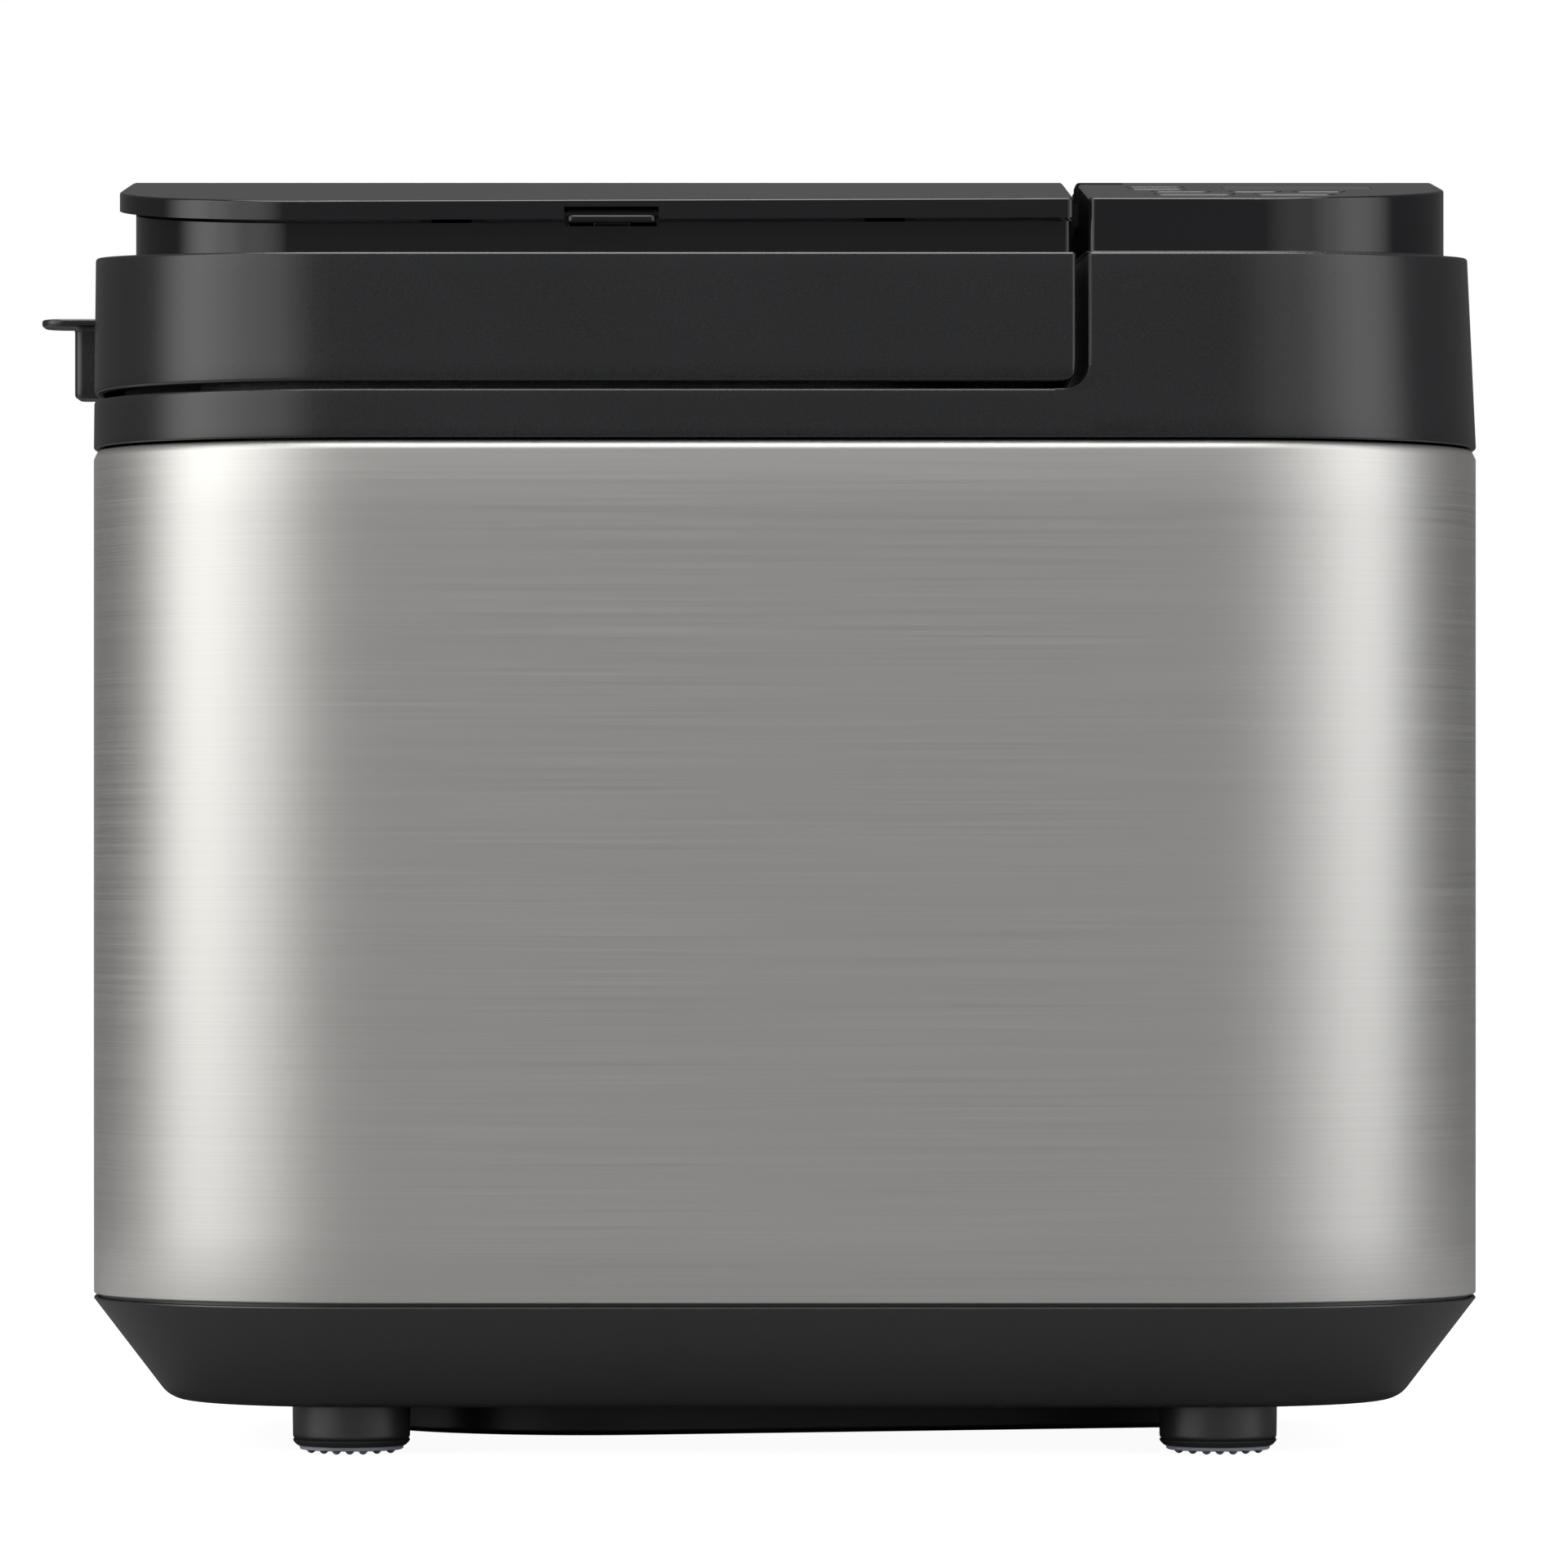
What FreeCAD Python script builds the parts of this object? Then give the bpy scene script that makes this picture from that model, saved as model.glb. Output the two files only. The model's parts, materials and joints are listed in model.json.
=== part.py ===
"""Bread machine: baking chamber and pan on the left, motor and controls on the right, lid beside the controls.

Millimetres. +X is to the right seen from the front, +Y to the back, +Z up. The origin is on the surface that
the rubber feet stand on, under the middle of the casing. Each named node is written to parts/NODE.step.
"""
import FreeCAD
import Part
import math
import os

V = FreeCAD.Vector
X_AXIS, Y_AXIS, Z_AXIS = V(1, 0, 0), V(0, 1, 0), V(0, 0, 1)

# ---------------------------------------------------------------- driving dimensions
HALF_WIDTH = 196.3          # casing, side to side
HALF_DEPTH = 126.0          # casing, front to back
CORNER_R = 77.7             # casing corners, in plan
BASE_BOTTOM_Z = 13.6
BASE_TOP_Z = 42.7
BASE_INSET = 21.9           # how far the base draws in at its foot
BASE_EDGE_R = 9.0
WRAP_BOTTOM_Z = 43.6
WRAP_TOP_Z = 282.0
HOUSING_BOTTOM_Z = 282.6
RING_TOP_Z = 296.1
LID_BOTTOM_Z = 298.0
BAND_TOP_Z = 333.8          # matte band's top edge at the front
BAND_SLOPE = 0.04
BAND_LEAN = (0.7, 3.0, 1.8)  # how far the matte band leans in at its left, right, front and back
BAND_LOFT_Z = 350.0
LID_RIGHT_X = 80.3
CONTROL_LEFT_X = 83.8
RING_NOTCH_R = 6.3          # the ring's inside corner beside the lid
ROOF_FRONT_Z = 350.0        # glossy top at its front edge
ROOF_FRONT_Y = -106.0
ROOF_SLOPE = 0.1125
ROOF_BEND_Y = 0.0           # where the front slope turns into the crest
ROOF_CREST_R = 250.0
ROOF_BACK_SLOPE = -0.09
LID_DIP = 0.9               # the dispenser lid's front left sits this much lower
PLATE_DEPTH = 5.4           # dispenser lid's skirt
DECK_DROP = 6.6             # lid deck below the roof
PLATE_BOX = (-188.6, LID_RIGHT_X, -106.0, 106.0)
PLATE_RADII = (57.0, 2.0, 2.0, 57.0)
RISER_BOX = (-184.0, 79.8, -102.0, 102.0)
RISER_RADII = (53.0, 2.0, 2.0, 53.0)
BLOCK_BOX = (84.6, 187.2, -104.0, 104.0)
BLOCK_RADII = (2.0, 60.0, 60.0, 2.0)
WALL = 2.4
SKIN = 2.0
CHAMBER_X = -57.0           # kneading axis
CHAMBER_HALF = (103.0, 88.0)
CHAMBER_R = 38.0
CHAMBER_FLOOR_Z = 58.0
SHEET = 1.0                 # pressed metal
PAN_TOP_HALF = (86.0, 66.0)
PAN_FOOT_HALF = (80.0, 60.0)
PAN_FLOOR_Z = 82.0
PAN_RIM_Z = 220.0
BAIL_PIVOT_Z = 212.0
BAIL_REACH = 73.0
BAIL_R = 2.3
BAIL_REST_DEG = 11.0
SHAFT_R = 4.0
RUNNING = 0.05              # radial clearance of a turning fit
MOTOR_X = 108.0
LARGE_PULLEY_R = 56.0
SMALL_PULLEY_R = 9.0
BELT_Z = (8.0, 12.4)
BELT_THICK = 1.5
BELT_GAP = 0.3
BELT_COVER_BOTTOM_Z = 3.8
BELT_COVER_R = (66.0, 26.0)
HINGE_X, HINGE_Z = 91.0, 355.0
HINGE_ARMS_Y = (-3.0, 43.0)
HINGE_PIN_R = 1.8
HINGE_LUG_R = 3.1
FOOT_X, FOOT_Y, FOOT_R = 121.5, 81.0, 16.8
PAD_R, NUB_R, NUB_PITCH = 14.6, 1.15, 3.7
LATCH_X = (-61.3, -35.0)
LATCH_Z = (342.4, 347.6)
NUT_BIN = (-130.0, -62.0, -44.0, 44.0)
NUT_BIN_FLOOR_Z = 303.0
YEAST_CENTRE = (4.0, -12.0)
YEAST_R = 22.0
PLATE_HINGE_Y, PLATE_HINGE_Z = 109.5, 349.0
GLAND_X, GLAND_Z, GLAND_BORE_R = 105.0, 64.0, 3.8
SLOPE_DEG = math.degrees(math.atan(ROOF_SLOPE))


# ---------------------------------------------------------------- helpers
def rounded_wire(x0, x1, y0, y1, z, radii):
    """Rectangle in plan; radii run front left, front right, back right, back left."""
    if not isinstance(radii, (tuple, list)):
        radii = (radii,) * 4
    corners = [V(x0, y0, z), V(x1, y0, z), V(x1, y1, z), V(x0, y1, z)]
    centres = [(1, 1), (-1, 1), (-1, -1), (1, -1)]
    starts = [180, 270, 0, 90]
    edges, ends = [], []
    for corner, (sx, sy), start, r in zip(corners, centres, starts, radii):
        if r <= 0:
            ends.append((corner, corner, None))
            continue
        c = corner + V(sx * r, sy * r, 0)
        a, b, m = (c + V(r * math.cos(math.radians(t)), r * math.sin(math.radians(t)), 0)
                   for t in (start, start + 90, start + 45))
        ends.append((a, b, Part.Arc(a, m, b).toShape()))
    for i in range(4):
        if ends[i][2] is not None:
            edges.append(ends[i][2])
        a, b = ends[i][1], ends[(i + 1) % 4][0]
        if a.distanceToPoint(b) > 1e-6:
            edges.append(Part.LineSegment(a, b).toShape())
    return Part.Wire(edges)


def prism(x0, x1, y0, y1, z0, z1, radii=0.0):
    wire = rounded_wire(x0, x1, y0, y1, z0, radii)
    return Part.Face(wire).extrude(V(0, 0, z1 - z0))


def box(x0, x1, y0, y1, z0, z1):
    return Part.makeBox(x1 - x0, y1 - y0, z1 - z0, V(x0, y0, z0))


def post(r, z0, z1, x=0.0, y=0.0):
    return Part.makeCylinder(r, z1 - z0, V(x, y, z0), Z_AXIS)


def rod(r, start, direction, length):
    return Part.makeCylinder(r, length, V(*start), direction)


def ring(r_out, r_in, z0, z1, x=0.0, y=0.0):
    return post(r_out, z0, z1, x, y).cut(post(r_in, z0 - 1, z1 + 1, x, y))


def loft(*wires):
    return Part.makeLoft(list(wires), True, True)


def casing_wire(inset, z):
    return rounded_wire(-HALF_WIDTH + inset, HALF_WIDTH - inset, -HALF_DEPTH + inset, HALF_DEPTH - inset,
                        z, CORNER_R - inset)


def casing_prism(inset, z0, z1):
    return Part.Face(casing_wire(inset, z0)).extrude(V(0, 0, z1 - z0))


def extrude_xz(points, y0, y1):
    """Closed outline of (x, z) points, carried from y0 to y1."""
    wire = Part.makePolygon([V(x, y0, z) for x, z in points + points[:1]])
    return Part.Face(wire).extrude(V(0, y1 - y0, 0))


def fused(*shapes):
    shapes = [s for s in shapes if s is not None]
    return shapes[0].fuse(shapes[1:]).removeSplitter() if len(shapes) > 1 else shapes[0]


def edges_where(shape, test):
    return [e for e in shape.Edges if test(e)]


def rounded(shape, radius, test):
    """Fillets the edges that the test picks, and keeps the sharp shape where that cannot be built."""
    picked = edges_where(shape, test)
    try:
        out = shape.makeFillet(radius, picked)
        if out.isValid() and out.Solids:
            return out
    except Exception as problem:
        print("fillet left out:", problem)
    return shape


def middle(edge):
    return edge.valueAt((edge.FirstParameter + edge.LastParameter) / 2)


def at_height(z, tolerance=0.05):
    return lambda e: abs(e.BoundBox.ZMin - z) < tolerance and abs(e.BoundBox.ZMax - z) < tolerance


def band_plane_z(y):
    return BAND_TOP_Z + BAND_SLOPE * (y + HALF_DEPTH - 2)


def under_band_plane(drop=0.0, z0=100.0):
    """Everything below the sloping plane of the matte band's top."""
    y0, y1 = -150.0, 150.0
    points = [(y0, z0), (y1, z0), (y1, band_plane_z(y1) - drop), (y0, band_plane_z(y0) - drop)]
    wire = Part.makePolygon([V(-220, y, z) for y, z in points + points[:1]])
    return Part.Face(wire).extrude(V(440, 0, 0))


def roof_z(y):
    """Height of the glossy roof over the control side."""
    if y <= ROOF_BEND_Y:
        return ROOF_FRONT_Z + ROOF_SLOPE * (y - ROOF_FRONT_Y)
    angle = math.atan(ROOF_SLOPE)
    bend_z = ROOF_FRONT_Z + ROOF_SLOPE * (ROOF_BEND_Y - ROOF_FRONT_Y)
    cy = ROOF_BEND_Y + ROOF_CREST_R * math.sin(angle)
    cz = bend_z - ROOF_CREST_R * math.cos(angle)
    back = cy - ROOF_CREST_R * math.sin(math.atan(ROOF_BACK_SLOPE))
    if y <= back:
        return cz + math.sqrt(ROOF_CREST_R ** 2 - (y - cy) ** 2)
    back_z = cz + math.sqrt(ROOF_CREST_R ** 2 - (back - cy) ** 2)
    return back_z + ROOF_BACK_SLOPE * (y - back)


def roof_wire(x, drop, dip, z0):
    """The roof's outline across the machine at x: front slope, crest, back slope."""
    angle = math.atan(ROOF_SLOPE)
    cy = ROOF_BEND_Y + ROOF_CREST_R * math.sin(angle)
    back = cy - ROOF_CREST_R * math.sin(math.atan(ROOF_BACK_SLOPE))
    front_y, rear_y = -150.0, 150.0
    reach = (ROOF_BEND_Y - front_y) / (ROOF_BEND_Y - ROOF_FRONT_Y)
    front = V(x, front_y, roof_z(front_y) - drop - dip * reach)
    stations = (ROOF_BEND_Y, (ROOF_BEND_Y + back) / 2, back, rear_y)
    bend, crest, rear, end = (V(x, y, roof_z(y) - drop) for y in stations)
    return Part.Wire([
        Part.LineSegment(V(x, front_y, z0), front).toShape(),
        Part.LineSegment(front, bend).toShape(),
        Part.Arc(bend, crest, rear).toShape(),
        Part.LineSegment(rear, end).toShape(),
        Part.LineSegment(end, V(x, rear_y, z0)).toShape(),
        Part.LineSegment(V(x, rear_y, z0), V(x, front_y, z0)).toShape()])


def under_roof(drop=0.0, dip=0.0, x0=-200.0, x1=200.0, z0=200.0):
    """Everything below the roof. The dip, full at the left end, is none at the lid's right end."""
    return loft(roof_wire(x0, drop, dip, z0), roof_wire(x1, drop, 0.0, z0))


def lid_roof(drop=0.0, z0=200.0):
    return under_roof(drop, LID_DIP, -190.0, LID_RIGHT_X, z0)


def panel(shape):
    """Carries a shape from the control panel's own frame, flat with z as depth, onto the sloping panel."""
    out = shape.copy()
    out.rotate(V(0, 0, 0), X_AXIS, SLOPE_DEG)
    out.translate(V(0, ROOF_FRONT_Y, ROOF_FRONT_Z))
    return out


def save(name, shape):
    solids = shape.Solids
    if not solids or not shape.isValid():
        print("CHECK", name, "solids", len(solids), "valid", shape.isValid())
    out = solids[0] if len(solids) == 1 else Part.makeCompound(solids)
    out.exportStep(f"parts/{name}.step")


def below_z(z):
    return box(-300, 300, -300, 300, -10, z)


def above_z(z):
    return box(-300, 300, -300, 300, z, 500)


def hull_plan(c0, r0, c1, r1, z0, z1):
    """Two discs on the X axis, joined by their outer tangents."""
    span = c1 - c0
    lean = math.asin((r0 - r1) / span)
    sin_l, cos_l = math.sin(lean), math.cos(lean)
    a0, a1 = V(c0 + r0 * sin_l, -r0 * cos_l, z0), V(c1 + r1 * sin_l, -r1 * cos_l, z0)
    b0, b1 = V(a0.x, -a0.y, z0), V(a1.x, -a1.y, z0)
    wire = Part.Wire([
        Part.LineSegment(a0, a1).toShape(),
        Part.Arc(a1, V(c1 + r1, 0, z0), b1).toShape(),
        Part.LineSegment(b1, b0).toShape(),
        Part.Arc(b0, V(c0 - r0, 0, z0), a0).toShape()])
    return Part.Face(wire).extrude(V(0, 0, z1 - z0))


# ---------------------------------------------------------------- base, feet and belt cover
def base_outer():
    shape = loft(casing_wire(BASE_INSET, BASE_BOTTOM_Z), casing_wire(0, BASE_TOP_Z))
    return rounded(shape, BASE_EDGE_R, at_height(BASE_BOTTOM_Z))


def base_cover():
    inner = loft(casing_wire(BASE_INSET + WALL, BASE_BOTTOM_Z + WALL), casing_wire(WALL + 0.6, BASE_TOP_Z + 1))
    shape = base_outer().cut(inner)
    return shape.cut(hull_plan(CHAMBER_X, BELT_COVER_R[0] - 6, MOTOR_X, BELT_COVER_R[1] - 6, 10, 20))


FOOT_SIGNS = ((-1, -1), (1, -1), (1, 1), (-1, 1))


def at_feet(make):
    return Part.makeCompound([make(sx, sy) for sx, sy in FOOT_SIGNS])


def foot(sx, sy):
    body = Part.makeCone(FOOT_R - 0.4, FOOT_R, 22, V(0, 0, 3.7), Z_AXIS)
    body = rounded(body, 1.4, at_height(3.7))
    body.translate(V(sx * FOOT_X, sy * FOOT_Y, 0))
    body = body.cut(base_outer()).common(below_z(20))
    return body.cut(post(PAD_R - 3, 3, 5.2, sx * FOOT_X, sy * FOOT_Y))


def foot_pad(sx, sy):
    disc = fused(post(PAD_R, 1.6, 3.7), post(PAD_R - 3.1, 3.0, 5.1))
    nubs = []
    reach = int(PAD_R / NUB_PITCH)
    for i in range(-reach, reach + 1):
        for j in range(-reach, reach + 1):
            if math.hypot(i, j) * NUB_PITCH < PAD_R - NUB_R:
                spot = V(i * NUB_PITCH, j * NUB_PITCH, 0)
                nubs.append(Part.makeCone(NUB_R * 0.7, NUB_R, 1.8, spot, Z_AXIS))
    pad = disc.fuse(nubs)
    pad.translate(V(sx * FOOT_X, sy * FOOT_Y, 0))
    return pad


def belt_cover():
    tray = hull_plan(CHAMBER_X, BELT_COVER_R[0], MOTOR_X, BELT_COVER_R[1], BELT_COVER_BOTTOM_Z, BASE_BOTTOM_Z)
    tray = rounded(tray, 1.6, at_height(BELT_COVER_BOTTOM_Z))
    hollow = hull_plan(CHAMBER_X, BELT_COVER_R[0] - WALL, MOTOR_X, BELT_COVER_R[1] - WALL,
                       BELT_COVER_BOTTOM_Z + 1.8, BASE_BOTTOM_Z + 1)
    return tray.cut(hollow)


# ---------------------------------------------------------------- casing and top frame
def steel_wrap():
    shape = casing_prism(0, WRAP_BOTTOM_Z, WRAP_TOP_Z).cut(casing_prism(SHEET, 40, 290))
    return shape.cut(rod(8.0, (GLAND_X, 110, GLAND_Z), Y_AXIS, 30))


def band_outer(bottom):
    """The matte band's solid, leaning in evenly as it rises, up past its sloping top."""
    share = (bottom - HOUSING_BOTTOM_Z) / (BAND_LOFT_Z - HOUSING_BOTTOM_Z)
    wires = []
    for part, z in ((share, bottom), (1.0, BAND_LOFT_Z)):
        left, right, front = (part * lean for lean in BAND_LEAN)
        x0, x1 = -HALF_WIDTH + left, HALF_WIDTH - right
        wires.append(rounded_wire(x0, x1, -HALF_DEPTH + front, HALF_DEPTH - front, z, CORNER_R - front))
    return loft(*wires)


def chamber_prism(grow, z0, z1):
    hx, hy = CHAMBER_HALF
    return prism(CHAMBER_X - hx - grow, CHAMBER_X + hx + grow, -hy - grow, hy + grow, z0, z1, CHAMBER_R + grow)


def top_frame():
    outer = band_outer(HOUSING_BOTTOM_Z).common(under_band_plane())
    notch = box(-220, CONTROL_LEFT_X, -150, 150, RING_TOP_Z, 400)
    notch = rounded(notch, RING_NOTCH_R, lambda e: at_height(RING_TOP_Z)(e) and middle(e).x > 80)
    shape = outer.cut(notch)
    shape = rounded(shape, 1.2, lambda e: middle(e).x > CONTROL_LEFT_X + 0.5 and
                    abs(middle(e).z - band_plane_z(middle(e).y)) < 0.1)
    ring_hollow = casing_prism(WALL, 280, RING_TOP_Z - WALL).cut(chamber_prism(3.0, 279, 300))
    shape = shape.cut(ring_hollow)
    housing = band_outer(HOUSING_BOTTOM_Z).common(under_band_plane(WALL))
    housing = housing.common(casing_prism(WALL + BAND_LEAN[1], 290, BAND_LOFT_Z))
    shape = shape.cut(housing.common(box(CONTROL_LEFT_X + WALL, 220, -150, 150, 280, BAND_LOFT_Z)))
    shape = shape.cut(chamber_prism(0, 280, 300))
    x0, x1, y0, y1 = BLOCK_BOX
    shape = shape.cut(prism(x0 + 6, x1 - 6, y0 + 6, y1 - 6, 325, 350, (2, 54, 54, 2)))
    for i in range(7):
        shape = shape.cut(box(92, 128, 110, 140, 300 + 4 * i, 302 + 4 * i))
    return shape


def control_block():
    x0, x1, y0, y1 = BLOCK_BOX
    shape = prism(x0, x1, y0, y1, 320, 380, BLOCK_RADII)
    shape = shape.common(under_roof()).cut(under_band_plane())
    shape = rounded(shape, 0.8, lambda e: middle(e).z > 345 and middle(e).x > x0 + 1)
    hollow = prism(x0 + SKIN, x1 - SKIN, y0 + SKIN, y1 - SKIN, 320, 380, (1, 58, 58, 1))
    shape = shape.cut(hollow.common(under_roof(SKIN)))
    swing = box(x0 - 5, HINGE_X, -150, 150, HINGE_Z, 380).cut(rod(9.9, (HINGE_X, -150, HINGE_Z), Y_AXIS, 300))
    shape = shape.cut(swing)
    for y in HINGE_ARMS_Y:
        shape = shape.cut(box(x0 - 1, HINGE_X + 6.5, y - 5.4, y + 5.4, HINGE_Z - 8.5, 380))
    px0, px1, pv0, pv1 = PCB_SPOT
    bosses = [panel(post(2.5, PCB_DEPTH, -1.0, x, v)) for x in (px0 + 3, px1 - 3) for v in (pv0 + 3, pv1 - 3)]
    shape = fused(shape, *bosses)
    shape = shape.cut(panel(prism(*grow_spot(DISPLAY_SPOT, 0.2), -4, 3, 2.0)))
    for spot in BUTTON_SPOTS.values():
        shape = shape.cut(panel(prism(*grow_spot(spot, 0.35), -4, 3, BUTTON_R + 0.35)))
    return shape


def grow_spot(spot, grow):
    x0, x1, v0, v1 = spot
    return x0 - grow, x1 + grow, v0 - grow, v1 + grow


PCB_SPOT = (95.6, 165.0, 24.0, 92.0)
PCB_DEPTH = -8.0
DISPLAY_SPOT = (125.0, 167.0, 62.0, 84.0)
BUTTON_R = 2.6
BUTTON_SPOTS = {
    "menu_up_button": (98.0, 114.0, 77.0, 85.0),
    "menu_down_button": (98.0, 114.0, 62.0, 70.0),
    "select_button": (104.0, 120.0, 42.0, 51.0),
    "timer_up_button": (126.0, 140.0, 42.0, 51.0),
    "timer_down_button": (144.0, 158.0, 42.0, 51.0),
    "start_button": (104.0, 126.0, 22.0, 33.0),
    "stop_button": (132.0, 154.0, 22.0, 33.0)}


def display_lens():
    return panel(prism(*DISPLAY_SPOT, -1.6, 0.0, 1.8))


def display_module():
    x0, x1, v0, v1 = DISPLAY_SPOT
    return panel(box(x0 + 2, x1 - 2, v0 + 2, v1 - 2, PCB_DEPTH, -2.2))


def control_pcb():
    return panel(box(*PCB_SPOT, PCB_DEPTH - 1.6, PCB_DEPTH))


def button(spot):
    x0, x1, v0, v1 = spot
    cap = prism(x0, x1, v0, v1, -3.0, 0.25, BUTTON_R)
    cap = rounded(cap, 0.5, at_height(0.25))
    stem = post(1.6, -6.2, -2.9, (x0 + x1) / 2, (v0 + v1) / 2)
    return panel(fused(cap, stem))


# ---------------------------------------------------------------- lid hinge
def hinge_bracket():
    lugs = []
    for y0, y1 in ((-14.0, -9.6), (17.4, 22.6), (49.6, 54.0)):
        web = box(HINGE_X - HINGE_LUG_R, HINGE_X + HINGE_LUG_R, y0, y1, 342.0, HINGE_Z)
        lugs.append(fused(web, rod(HINGE_LUG_R, (HINGE_X, y0, HINGE_Z), Y_AXIS, y1 - y0)))
    foot_bar = box(HINGE_X - 3.6, HINGE_X + 12, -14, 54, 341.2, 343.2)
    return fused(foot_bar, *lugs).cut(rod(HINGE_PIN_R, (HINGE_X, -20, HINGE_Z), Y_AXIS, 90))


def hinge_pin():
    return rod(HINGE_PIN_R, (HINGE_X, -14, HINGE_Z), Y_AXIS, 68)


def hinge_arm(y):
    half = 4.6
    arm = fused(box(LID_RIGHT_X - 0.5, HINGE_X, y - half, y + half, HINGE_Z - 6.2, HINGE_Z + 0.3),
                rod(4.4, (HINGE_X, y - half, HINGE_Z), Y_AXIS, 2 * half))
    return arm.cut(rod(HINGE_PIN_R + RUNNING, (HINGE_X, y - 10, HINGE_Z), Y_AXIS, 20))


def hinge_arms():
    return Part.makeCompound([hinge_arm(y) for y in HINGE_ARMS_Y])


# ---------------------------------------------------------------- lid
def lid_side(x):
    return box(-230, x, -150, 150, 250, 400)


def lid_shell():
    shape = band_outer(LID_BOTTOM_Z).common(under_band_plane()).common(lid_side(LID_RIGHT_X))
    shape = rounded(shape, 4.0, lambda e: at_height(LID_BOTTOM_Z)(e) and middle(e).x > LID_RIGHT_X - 0.1)
    shape = rounded(shape, 1.2, lambda e: middle(e).x < LID_RIGHT_X - 0.1 and
                    abs(middle(e).z - band_plane_z(middle(e).y)) < 0.1)
    inner = band_outer(LID_BOTTOM_Z - 1).common(casing_prism(WALL + BAND_LEAN[1], 290, BAND_LOFT_Z))
    inner = inner.common(under_band_plane(WALL)).common(lid_side(LID_RIGHT_X - WALL))
    shape = shape.cut(inner)
    x0, x1, y0, y1 = RISER_BOX
    return shape.cut(prism(x0 + 6, x1 - 6, y0 + 6, y1 - 6, 325, 350, (47, 2, 2, 47)))


def bin_prism(grow, z0, z1):
    x0, x1, y0, y1 = NUT_BIN
    return prism(x0 - grow, x1 + grow, y0 - grow, y1 + grow, z0, z1, 8 + grow)


def lid_riser():
    x0, x1, y0, y1 = RISER_BOX
    shape = prism(x0, x1, y0, y1, 320, 380, RISER_RADII)
    shape = shape.common(lid_roof(DECK_DROP)).cut(under_band_plane())
    hollow = prism(x0 + SKIN, x1 - SKIN, y0 + SKIN, y1 - SKIN, 320, 380, (51, 1, 1, 51))
    shape = shape.cut(hollow.common(lid_roof(DECK_DROP + SKIN)))
    shape = shape.cut(bin_prism(0, 320, 380)).cut(post(YEAST_R, 320, 380, *YEAST_CENTRE))
    lx0, lx1 = LATCH_X
    shape = shape.cut(box(lx0, lx1, y0 - 5, y0 + 14, LATCH_Z[0], 380))
    shape = shape.cut(box(lx0 + 7, lx1 - 7, y0 + 1.9, y0 + 9.6, 336, 380))
    return shape


def lid_liner():
    shape = casing_prism(9, LID_BOTTOM_Z + 0.6, LID_BOTTOM_Z + 0.6 + SHEET).common(lid_side(LID_RIGHT_X - 8))
    x0, x1, y0, y1 = NUT_BIN
    shape = shape.cut(box(x0 - 3, x1 + 0.5, y0 - 0.5, y1 + 0.5, 290, 310))
    shape = shape.cut(post(8.4, 290, 310, *YEAST_CENTRE))
    for i in range(5):
        shape = shape.cut(box(30, 44, 30 + 6 * i, 33 + 6 * i, 290, 310))
    return shape


def lid_gasket():
    return chamber_prism(5.6, RING_TOP_Z + 0.5, LID_BOTTOM_Z + 0.6).cut(chamber_prism(1.2, 290, 310))


def nut_bin():
    x0, x1, y0, y1 = NUT_BIN
    walls = bin_prism(-0.2, NUT_BIN_FLOOR_Z, 380).cut(bin_prism(-2.0, 290, 390))
    return walls.common(lid_roof(DECK_DROP))


def nut_flap():
    x0, x1, y0, y1 = NUT_BIN
    plate = prism(x0 + 0.6, x1 - 1.0, y0 + 0.8, y1 - 0.8, NUT_BIN_FLOOR_Z - 2.6, NUT_BIN_FLOOR_Z - 0.4, 6.0)
    knuckle = rod(1.2, (x0 - 0.9, y0 + 6, NUT_BIN_FLOOR_Z - 1.6), Y_AXIS, y1 - y0 - 12)
    tongue = box(x0 - 0.9, x0 + 8, y0 + 8, y1 - 8, NUT_BIN_FLOOR_Z - 2.6, NUT_BIN_FLOOR_Z - 0.6)
    return fused(plate, knuckle, tongue)


def yeast_cup():
    cx, cy = YEAST_CENTRE
    wall = post(YEAST_R - 0.2, 318, 380, cx, cy).cut(post(YEAST_R - 2, 320, 390, cx, cy))
    wall = wall.common(lid_roof(DECK_DROP))
    funnel = Part.makeCone(8.0, YEAST_R - 0.2, 18, V(cx, cy, 300), Z_AXIS)
    funnel = funnel.cut(Part.makeCone(6.2, YEAST_R - 2, 18.02, V(cx, cy, 300), Z_AXIS))
    return fused(wall, funnel.cut(post(6.2, 299, 301, cx, cy)), ring(8.0, 6.2, 299.9, 300.5, cx, cy)).cut(
        post(YEAST_R - 2, 318, 321, cx, cy))


def yeast_valve():
    cx, cy = YEAST_CENTRE
    return fused(post(5.9, 300.4, 302.4, cx, cy), post(1.4, 302.0, 330, cx, cy), post(3.4, 329, 331, cx, cy))


def lid_handle():
    x = -HALF_WIDTH + 0.5
    tab = box(x - 18.5, x + 3, -11, 11, 319.9, 322.1)
    tab = rounded(tab, 7.0, lambda e: abs(middle(e).x - (x - 18.5)) < 0.1 and e.BoundBox.ZLength > 1)
    boss = box(x - 8.8, x + 3, -9.5, 9.5, 299.2, 320.5).cut(box(x - 6.8, x + 5, -7.5, 7.5, 298, 318.5))
    shape = fused(tab, boss)
    return shape.cut(band_outer(LID_BOTTOM_Z - 2))


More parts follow.
